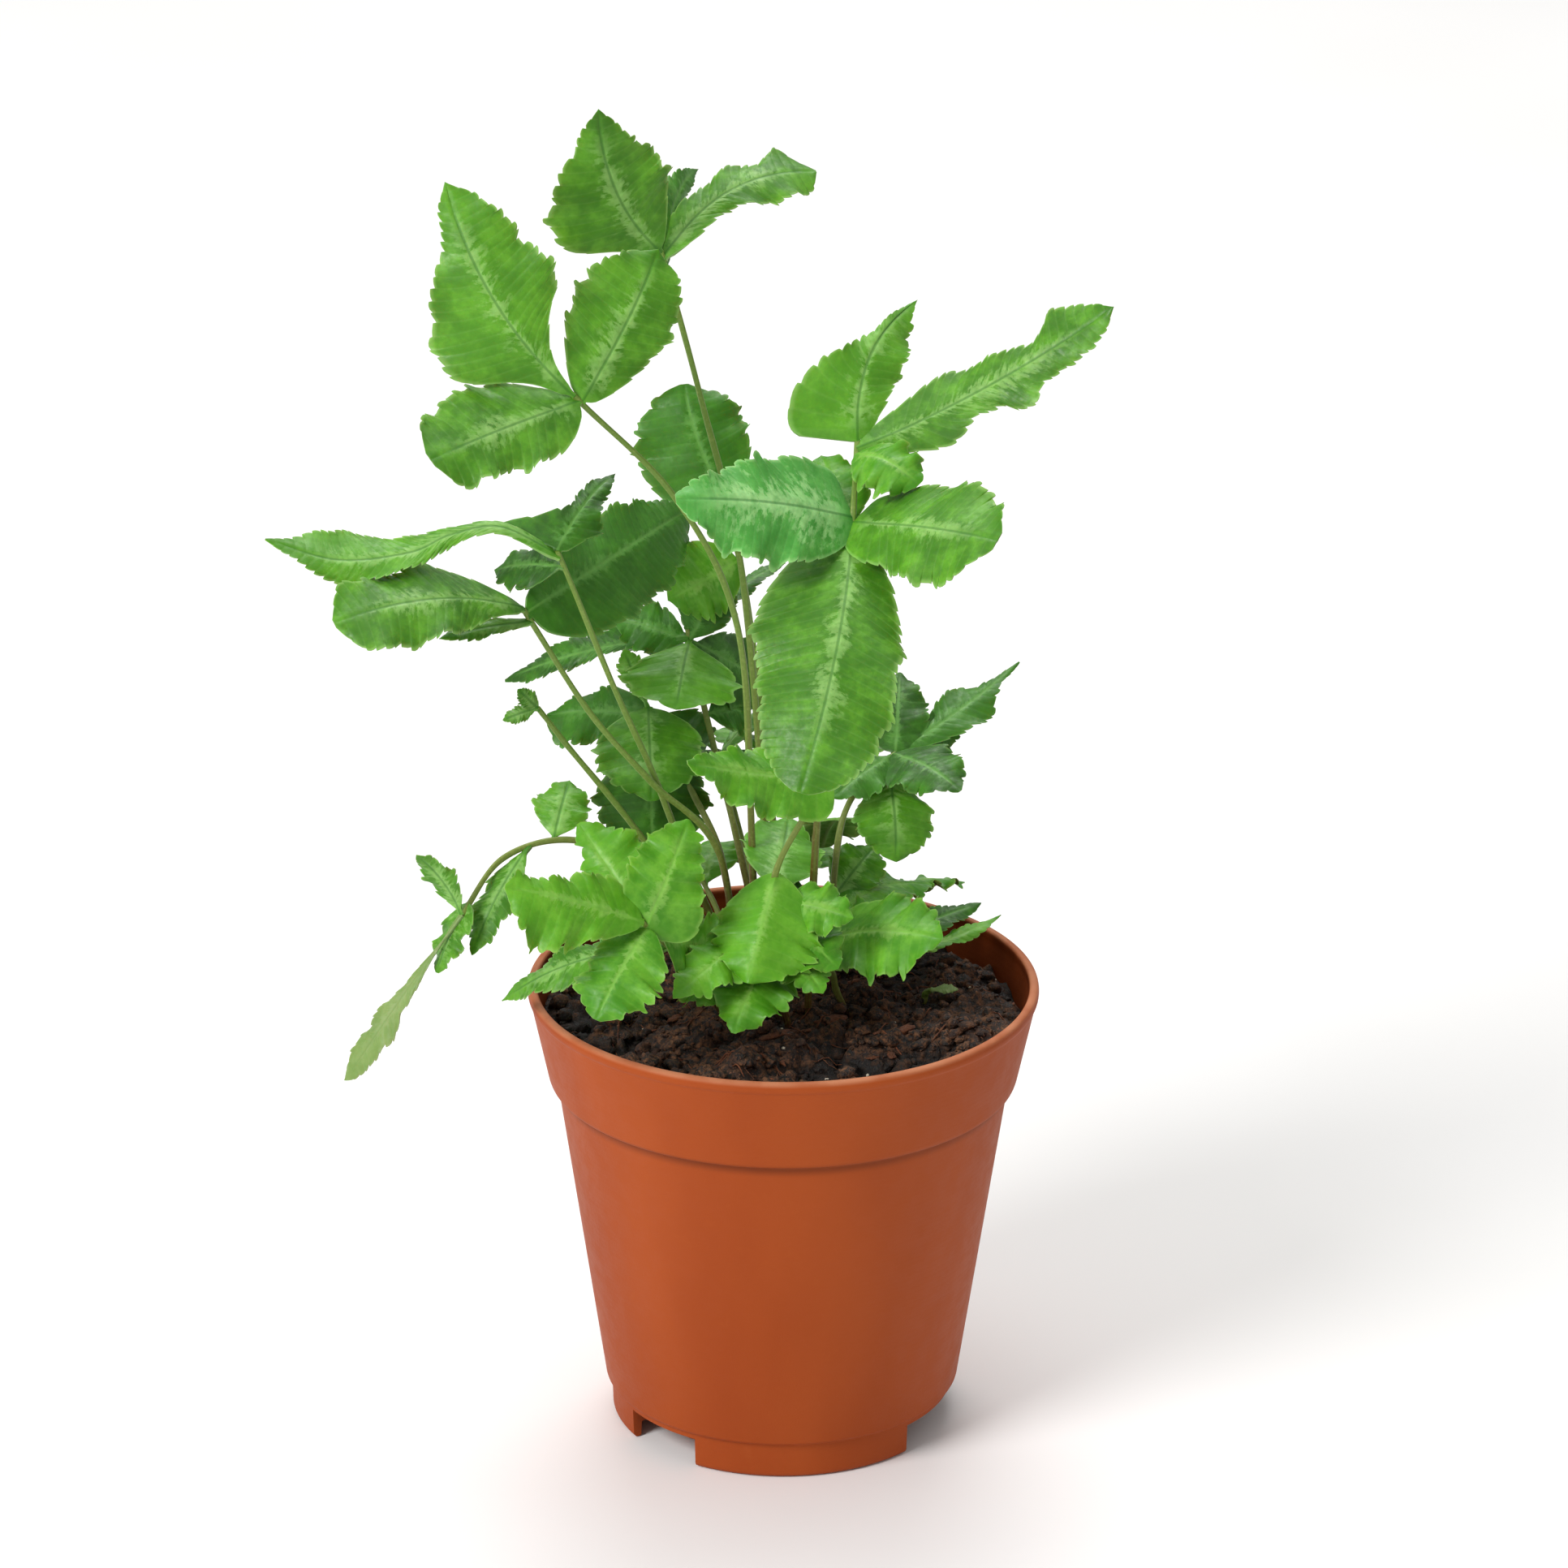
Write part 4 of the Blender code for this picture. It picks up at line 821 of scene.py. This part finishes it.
def add_frond(name, colour, knots, leaflets, more, own_node=True):
    rng = random.Random(name)
    knots = [raised(k) for k in knots]
    way = unit(knots[1] - knots[0])
    path = smooth_path([knots[0] - way * ROOT_DEPTH, *knots], FINE_STEPS)
    share = np.linspace(0, 1, len(path))
    radii = STIPE_FOOT + (STIPE_HEAD - STIPE_FOOT) * share
    radii = radii * (1 + 0.05 * np.sin(share * 37 + rng.uniform(0, 6)))
    radii[0] *= 1.4
    drift = [np.array((rng.uniform(-1, 1), rng.uniform(-1, 1), 0)) for _ in range(3)]
    shaped = [p + 0.25 * math.sin(math.pi * s) * (drift[0] * math.sin(9 * s) + drift[1] * math.sin(17 * s))
              for p, s in zip(path, share)]
    shaped[-1] = path[-1]
    points, faces, marks = tube(shaped, radii, STIPE_SIDES, STIPE_GROOVE)
    new_piece(f"stalk_{name}", points, faces, STIPES[colour],
              f"stipe_{name}" if own_node else None, {"vein": np.array(marks)})
    path = smooth_path(knots, KNOT_STEPS)
    for leaflet in leaflets:
        add_leaflet(name, leaflet, path)
    for leaflet in more:
        add_leaflet(name, leaflet, path, node=False)


for name, colour, knots, leaflets in FRONDS:
    add_frond(name, colour, knots, leaflets, EXTRA_LEAFLETS.get(name, ()))
for name, colour, knots, leaflets in EXTRA_FRONDS:
    add_frond(name, colour, knots, (), leaflets, own_node=False)


# ---------------------------------------------------------------- pot
def rounded(profile, radius, steps=4):
    """The profile with each inner corner rounded off."""
    out = [np.array(profile[0], float)]
    for a, b, c in zip(profile, profile[1:], profile[2:]):
        a, b, c = (np.array(v, float) for v in (a, b, c))
        r = min(radius, np.linalg.norm(b - a) * 0.45, np.linalg.norm(c - b) * 0.45)
        start, end = b + unit(a - b) * r, b + unit(c - b) * r
        for k in range(steps + 1):
            t = k / steps
            out.append((1 - t) ** 2 * start + 2 * t * (1 - t) * b + t * t * end)
    out.append(np.array(profile[-1], float))
    return out


def pot_profile():
    """The pot's wall from the middle of its base, up the outside, over the lip and down the inside."""
    top = POT_HEIGHT
    outer = [(0, 0), (DISC_RADIUS, 0), (CHANNEL_INNER, CHANNEL_HEIGHT), (FOOT_RADIUS - 1.9, CHANNEL_HEIGHT),
             (FOOT_RADIUS - 1.7, 0), (FOOT_RADIUS - 0.5, 0), (FOOT_RADIUS, 0.7),
             (FOOT_RADIUS + 0.25, FOOT_HEIGHT - 0.4), (WALL_FOOT, FOOT_HEIGHT + 0.2),
             (WALL_TOP, SHOULDER - 0.8), (COLLAR_RADIUS - 0.3, SHOULDER - 0.2),
             (COLLAR_RADIUS, SHOULDER + 0.6), (RIM_RADIUS - 0.5, top - BEAD - 0.5),
             (RIM_RADIUS - 0.1, top - BEAD), (RIM_RADIUS, top - BEAD * 0.6),
             (RIM_RADIUS - 0.2, top - 0.3), (RIM_RADIUS - 0.8, top)]
    inner = [(RIM_RADIUS - WALL - 0.5, top), (RIM_RADIUS - WALL - 0.9, top - 0.6),
             (RIM_RADIUS - WALL - 0.6, top - BEAD - 0.5), (COLLAR_RADIUS - WALL, SHOULDER + 1.4),
             (WALL_TOP - WALL, SHOULDER + 0.4), (WALL_FOOT - WALL, FOOT_HEIGHT + 1.0),
             (FOOT_RADIUS - WALL, FOOT_HEIGHT - 0.4), (FOOT_RADIUS - WALL - 0.3, CHANNEL_HEIGHT + WALL),
             (CHANNEL_INNER - 0.9, CHANNEL_HEIGHT + WALL), (DISC_RADIUS - 0.9, WALL), (0, WALL)]
    return rounded(outer + inner, 0.55)


def notch_block(middle, half):
    """A wedge that cuts one drainage notch through the foot."""
    corners = []
    for z in (-2.0, NOTCH_TOP):
        for r in (FOOT_RADIUS - 4.4, FOOT_RADIUS + 5.0):
            for k in range(9):
                a = math.radians(middle - half + 2 * half * k / 8)
                corners.append((r * math.cos(a), r * math.sin(a), z))
    lower_in, lower_out, upper_in, upper_out = (list(range(i * 9, i * 9 + 9)) for i in range(4))
    faces = []
    for k in range(8):
        faces.append((lower_in[k], lower_in[k + 1], lower_out[k + 1], lower_out[k]))
        faces.append((upper_in[k], upper_out[k], upper_out[k + 1], upper_in[k + 1]))
        faces.append((lower_in[k], upper_in[k], upper_in[k + 1], lower_in[k + 1]))
        faces.append((lower_out[k], lower_out[k + 1], upper_out[k + 1], upper_out[k]))
    faces.append((lower_in[0], lower_out[0], upper_out[0], upper_in[0]))
    faces.append((lower_in[8], upper_in[8], upper_out[8], lower_out[8]))
    mesh = bpy.data.meshes.new("notch")
    mesh.from_pydata((np.array(corners) * MM).tolist(), [], faces)
    block = bpy.data.objects.new("notch", mesh)
    bpy.context.scene.collection.objects.link(block)
    return block


def add_pot():
    profile = pot_profile()[1:-1]
    points = [(0.0, 0.0, 0.0)]
    for r, z in profile:
        for j in range(POT_SIDES):
            a = 2 * math.pi * j / POT_SIDES
            points.append((r * math.cos(a), r * math.sin(a), z))
    points.append((0.0, 0.0, WALL))
    faces = grid_faces(len(profile), POT_SIDES, wrap=True, offset=1)
    last = 1 + (len(profile) - 1) * POT_SIDES
    for j in range(POT_SIDES):
        k = (j + 1) % POT_SIDES
        faces.append((0, 1 + k, 1 + j))
        faces.append((len(points) - 1, last + j, last + k))
    return points, faces


def weld(mesh, gap=2e-6):
    """Joins the points that a Boolean left almost on top of each other."""
    joined = bmesh.new()
    joined.from_mesh(mesh)
    bmesh.ops.remove_doubles(joined, verts=joined.verts, dist=gap)
    bmesh.ops.dissolve_degenerate(joined, edges=joined.edges, dist=gap)
    joined.to_mesh(mesh)
    joined.free()


def build_pot():
    points, faces = add_pot()
    mesh = bpy.data.meshes.new("pot_shell")
    mesh.from_pydata((np.array(points) * MM).tolist(), [], faces)
    shell = bpy.data.objects.new("pot_shell", mesh)
    bpy.context.scene.collection.objects.link(shell)
    blocks = [notch_block(*notch) for notch in NOTCHES]
    for block in blocks:
        cut = shell.modifiers.new("notch", "BOOLEAN")
        cut.operation, cut.solver, cut.object = "DIFFERENCE", "EXACT", block
    bpy.context.view_layer.update()
    cut_mesh = bpy.data.meshes.new_from_object(shell.evaluated_get(bpy.context.evaluated_depsgraph_get()))
    for used in (shell, *blocks):
        bpy.data.objects.remove(used)
    weld(cut_mesh)
    co = np.array([v.co for v in cut_mesh.vertices]) / MM
    polygons = [tuple(p.vertices) for p in cut_mesh.polygons]
    radius = np.hypot(co[:, 0], co[:, 1])
    wall = np.interp(co[:, 2], (0, FOOT_HEIGHT, FOOT_HEIGHT + 1, SHOULDER - 1, SHOULDER + 1, POT_HEIGHT),
                     (FOOT_RADIUS, FOOT_RADIUS, WALL_FOOT, WALL_TOP, COLLAR_RADIUS, RIM_RADIUS))
    # inside marks the inner wall, which the pot's material darkens as painted shade
    inside = (radius < wall - 0.7) & (co[:, 2] > 1.0) & (co[:, 2] < POT_HEIGHT - 0.4)
    new_piece("pot_body", co, polygons, pot_material(), "pot",
              {"inside": inside.astype(float)}, crease=40)


build_pot()


# ---------------------------------------------------------------- soil
def soil_height(x, y):
    """The mound as the CAD has it, with clods and crumbs over it."""
    r = min(1.0, math.hypot(x, y) / SOIL_RADIUS)
    clods = math.sin(x * .31 + .8) * math.cos(y * .27 - .4) + .6 * math.sin(x * .53 - y * .47 + 2)
    base = SOIL_LINE + SOIL_MOUND * (1 - r * r) + SOIL_LUMP * clods * (1 - .5 * r)
    place = Vector((x, y, 0.0))
    place += Vector((noise.noise(place * 0.3), noise.noise(place * 0.3 + Vector((5, 5, 5))), 0.0)) * 1.6
    height = base + 2.0 * noise.fractal(place * 0.06, 1.0, 2.0, 2) - 1.7
    for middle_x, middle_y, spread, tall in HEAPS:
        height += tall * math.exp(-((x - middle_x) ** 2 + (y - middle_y) ** 2) / spread ** 2)
    for size, tall in CLODS:
        near, centres = noise.voronoi(place / size)
        odd = 0.4 + 0.6 * abs(noise.noise(centres[0] * 3.7 + Vector((size, 0, 0)))) * 2
        height += tall * odd * max(0.0, 1 - (near[0] / 0.72) ** 2)
    return height + 0.35 * noise.fractal(place * 0.9 + Vector((7, 3, 1)), 0.7, 2.1, 3)


def hollow_mark(z):
    """How deep a place lies between the clods: 0 on their tops, 1 at the bottom; the soil's painted shade
    follows it.
    """
    return (SOIL_LINE + HOLLOW_TOP - z) / HOLLOW_DEPTH


def build_soil():
    rings, sides = SOIL_RINGS, SOIL_SIDES
    points = []
    for i in range(1, rings + 1):
        r = SOIL_RADIUS * i / rings
        for j in range(sides):
            a = 2 * math.pi * j / sides
            x, y = r * math.cos(a), r * math.sin(a)
            points.append((x, y, soil_height(x, y)))
    for r, z in ((47.0, SHOULDER + 2.0), (44.9, SHOULDER - 1.5),
                 (35.0, FOOT_HEIGHT + 1.6), (33.2, SOIL_FLOOR)):
        for j in range(sides):
            a = 2 * math.pi * j / sides
            points.append((r * math.cos(a), r * math.sin(a), z))
    faces = [tuple(reversed(f)) for f in grid_faces(rings + 4, sides, wrap=True)]
    centre, base = len(points), len(points) + 1
    points += [(0.0, 0.0, soil_height(0.0, 0.0)), (0.0, 0.0, SOIL_FLOOR)]
    last = (rings + 3) * sides
    for j in range(sides):
        k = (j + 1) % sides
        faces.append((centre, j, k))
        faces.append((base, last + k, last + j))
    tint = [0.3 * noise.noise(Vector(p) * 0.5) for p in points]
    hollow_shade = [hollow_mark(p[2]) for p in points]
    new_piece("soil_bed", points, faces, SOIL, "soil", {"tint": tint, "hollow_shade": hollow_shade}, crease=180)


def lump_shape(rng, sizes, rough=0.35):
    """An irregular closed crumb: a subdivided icosahedron pushed in and out."""
    shift = Vector((rng.uniform(-50, 50), rng.uniform(-50, 50), rng.uniform(-50, 50)))
    out = []
    for v in ICOSPHERE[0]:
        k = 1 + rough * noise.noise(Vector(v) * 1.7 + shift) * 2
        out.append(Vector((v[0] * sizes[0], v[1] * sizes[1], v[2] * sizes[2])) * k)
    return out


def icosphere():
    ball = bmesh.new()
    bmesh.ops.create_icosphere(ball, subdivisions=2, radius=1.0)
    verts = [tuple(v.co) for v in ball.verts]
    faces = [tuple(v.index for v in f.verts) for f in ball.faces]
    ball.free()
    return verts, faces


ICOSPHERE = icosphere()
SOIL = soil_material()


def spot_on_soil(rng, edge=1.6):
    r = (SOIL_RADIUS - edge) * math.sqrt(rng.random())
    a = rng.uniform(0, 2 * math.pi)
    return r * math.cos(a), r * math.sin(a)


def build_crumbs():
    rng = random.Random(11)
    points, faces, tint, hollow_shade = [], [], [], []
    for _ in range(CRUMBS):
        x, y = spot_on_soil(rng)
        size = 0.35 + 1.7 * rng.random() ** 3.4
        turn = rng.uniform(0, math.pi)
        kind = rng.random()
        shape = (size * rng.uniform(0.8, 1.5), size * rng.uniform(0.7, 1.1), size * rng.uniform(0.5, 0.9))
        tone = rng.uniform(0, 0.45)
        if kind > 0.93:
            tone, shape = rng.uniform(0.6, 0.85), (size * 2.0, size * 0.8, size * 0.35)
        elif kind > 0.915:
            tone, shape = 1.0, (0.42, 0.36, 0.3)
        first = len(points)
        z = soil_height(x, y) + shape[2] * 0.35
        for v in lump_shape(rng, shape):
            px = x + v.x * math.cos(turn) - v.y * math.sin(turn)
            py = y + v.x * math.sin(turn) + v.y * math.cos(turn)
            points.append((px, py, z + v.z))
            tint.append(tone)
            hollow_shade.append(0.0 if tone > 0.9 else hollow_mark(z))
        faces += [tuple(first + i for i in f) for f in ICOSPHERE[1]]
    marks = {"tint": tint, "hollow_shade": hollow_shade}
    new_piece("soil_crumbs", points, faces, SOIL, None, marks, crease=180)


def build_fibres():
    rng = random.Random(23)
    points, faces, tint = [], [], []
    for _ in range(FIBRES):
        x, y = spot_on_soil(rng, 6.0)
        heading, length = rng.uniform(0, 2 * math.pi), rng.uniform(3.0, 9.0)
        bend, lift = rng.uniform(-0.5, 0.5), rng.uniform(0.1, 0.9)
        path = []
        for k in range(7):
            s = k / 6
            a = heading + bend * s * 2
            px, py = x + math.cos(a) * length * s, y + math.sin(a) * length * s
            path.append(np.array((px, py, soil_height(px, py) + 0.15 + lift * math.sin(math.pi * s))))
        if max(math.hypot(p[0], p[1]) for p in path) > SOIL_RADIUS - 1.5:
            continue
        thick = rng.uniform(0.09, 0.2)
        radii = [thick * share for share in (0.6, 1, 1, 1, 1, 0.9, 0.4)]
        ring, ring_faces, _ = tube(path, radii, 5)
        first = len(points)
        points += [tuple(p) for p in ring]
        faces += [tuple(first + i for i in f) for f in ring_faces]
        tint += [rng.uniform(0.4, 0.86)] * len(ring)
    new_piece("soil_fibres", points, faces, SOIL, None, {"tint": tint}, crease=180)


build_soil()
build_crumbs()
build_fibres()


# ---------------------------------------------------------------- stage, light and camera
def build_floor():
    mesh = bpy.data.meshes.new("floor")
    grid = bmesh.new()
    bmesh.ops.create_grid(grid, x_segments=FLOOR_CELLS, y_segments=FLOOR_CELLS, size=FLOOR_HALF)
    grid.to_mesh(mesh)
    grid.free()
    mesh.materials.append(floor_material())
    floor = bpy.data.objects.new("floor", mesh)
    bpy.context.scene.collection.objects.link(floor)
    floor.location.z = -FLOOR_GAP


def build_lights():
    world = bpy.data.worlds.new("studio")
    bpy.context.scene.world = world
    world.use_nodes = True
    sky = world.node_tree.nodes["Background"]
    sky.inputs["Color"].default_value = (1.0, 1.0, 1.0, 1.0)
    sky.inputs["Strength"].default_value = SKY_STRENGTH
    for name, place, aim, size, power in LAMPS:
        lamp = bpy.data.lights.new(name, "AREA")
        lamp.shape, lamp.size, lamp.energy = "DISK", size, power
        light = bpy.data.objects.new(name, lamp)
        light.location = place
        light.rotation_euler = (Vector(aim) - Vector(place)).to_track_quat("-Z", "Y").to_euler()
        bpy.context.scene.collection.objects.link(light)


def build_camera():
    """Looks down at the pot from in front, as a person at a table would."""
    pitch, roll = math.radians(CAMERA_PITCH), math.radians(CAMERA_ROLL)
    forward = Vector((0, math.cos(pitch), -math.sin(pitch)))
    level, high = Vector((1, 0, 0)), Vector((0, math.sin(pitch), math.cos(pitch)))
    right = level * math.cos(roll) + high * math.sin(roll)
    up = right.cross(forward)
    data = bpy.data.cameras.new("camera")
    data.sensor_width, data.lens = CAMERA_SENSOR, CAMERA_LENS
    data.clip_start, data.clip_end = CAMERA_CLIP
    camera = bpy.data.objects.new("camera", data)
    bpy.context.scene.collection.objects.link(camera)
    turn = Matrix((right, up, -forward)).transposed()
    camera.matrix_world = Matrix.Translation(CAMERA_PLACE) @ turn.to_4x4()
    bpy.context.scene.camera = camera


build_floor()
build_lights()
build_camera()
bpy.context.scene.view_settings.view_transform = "Standard"
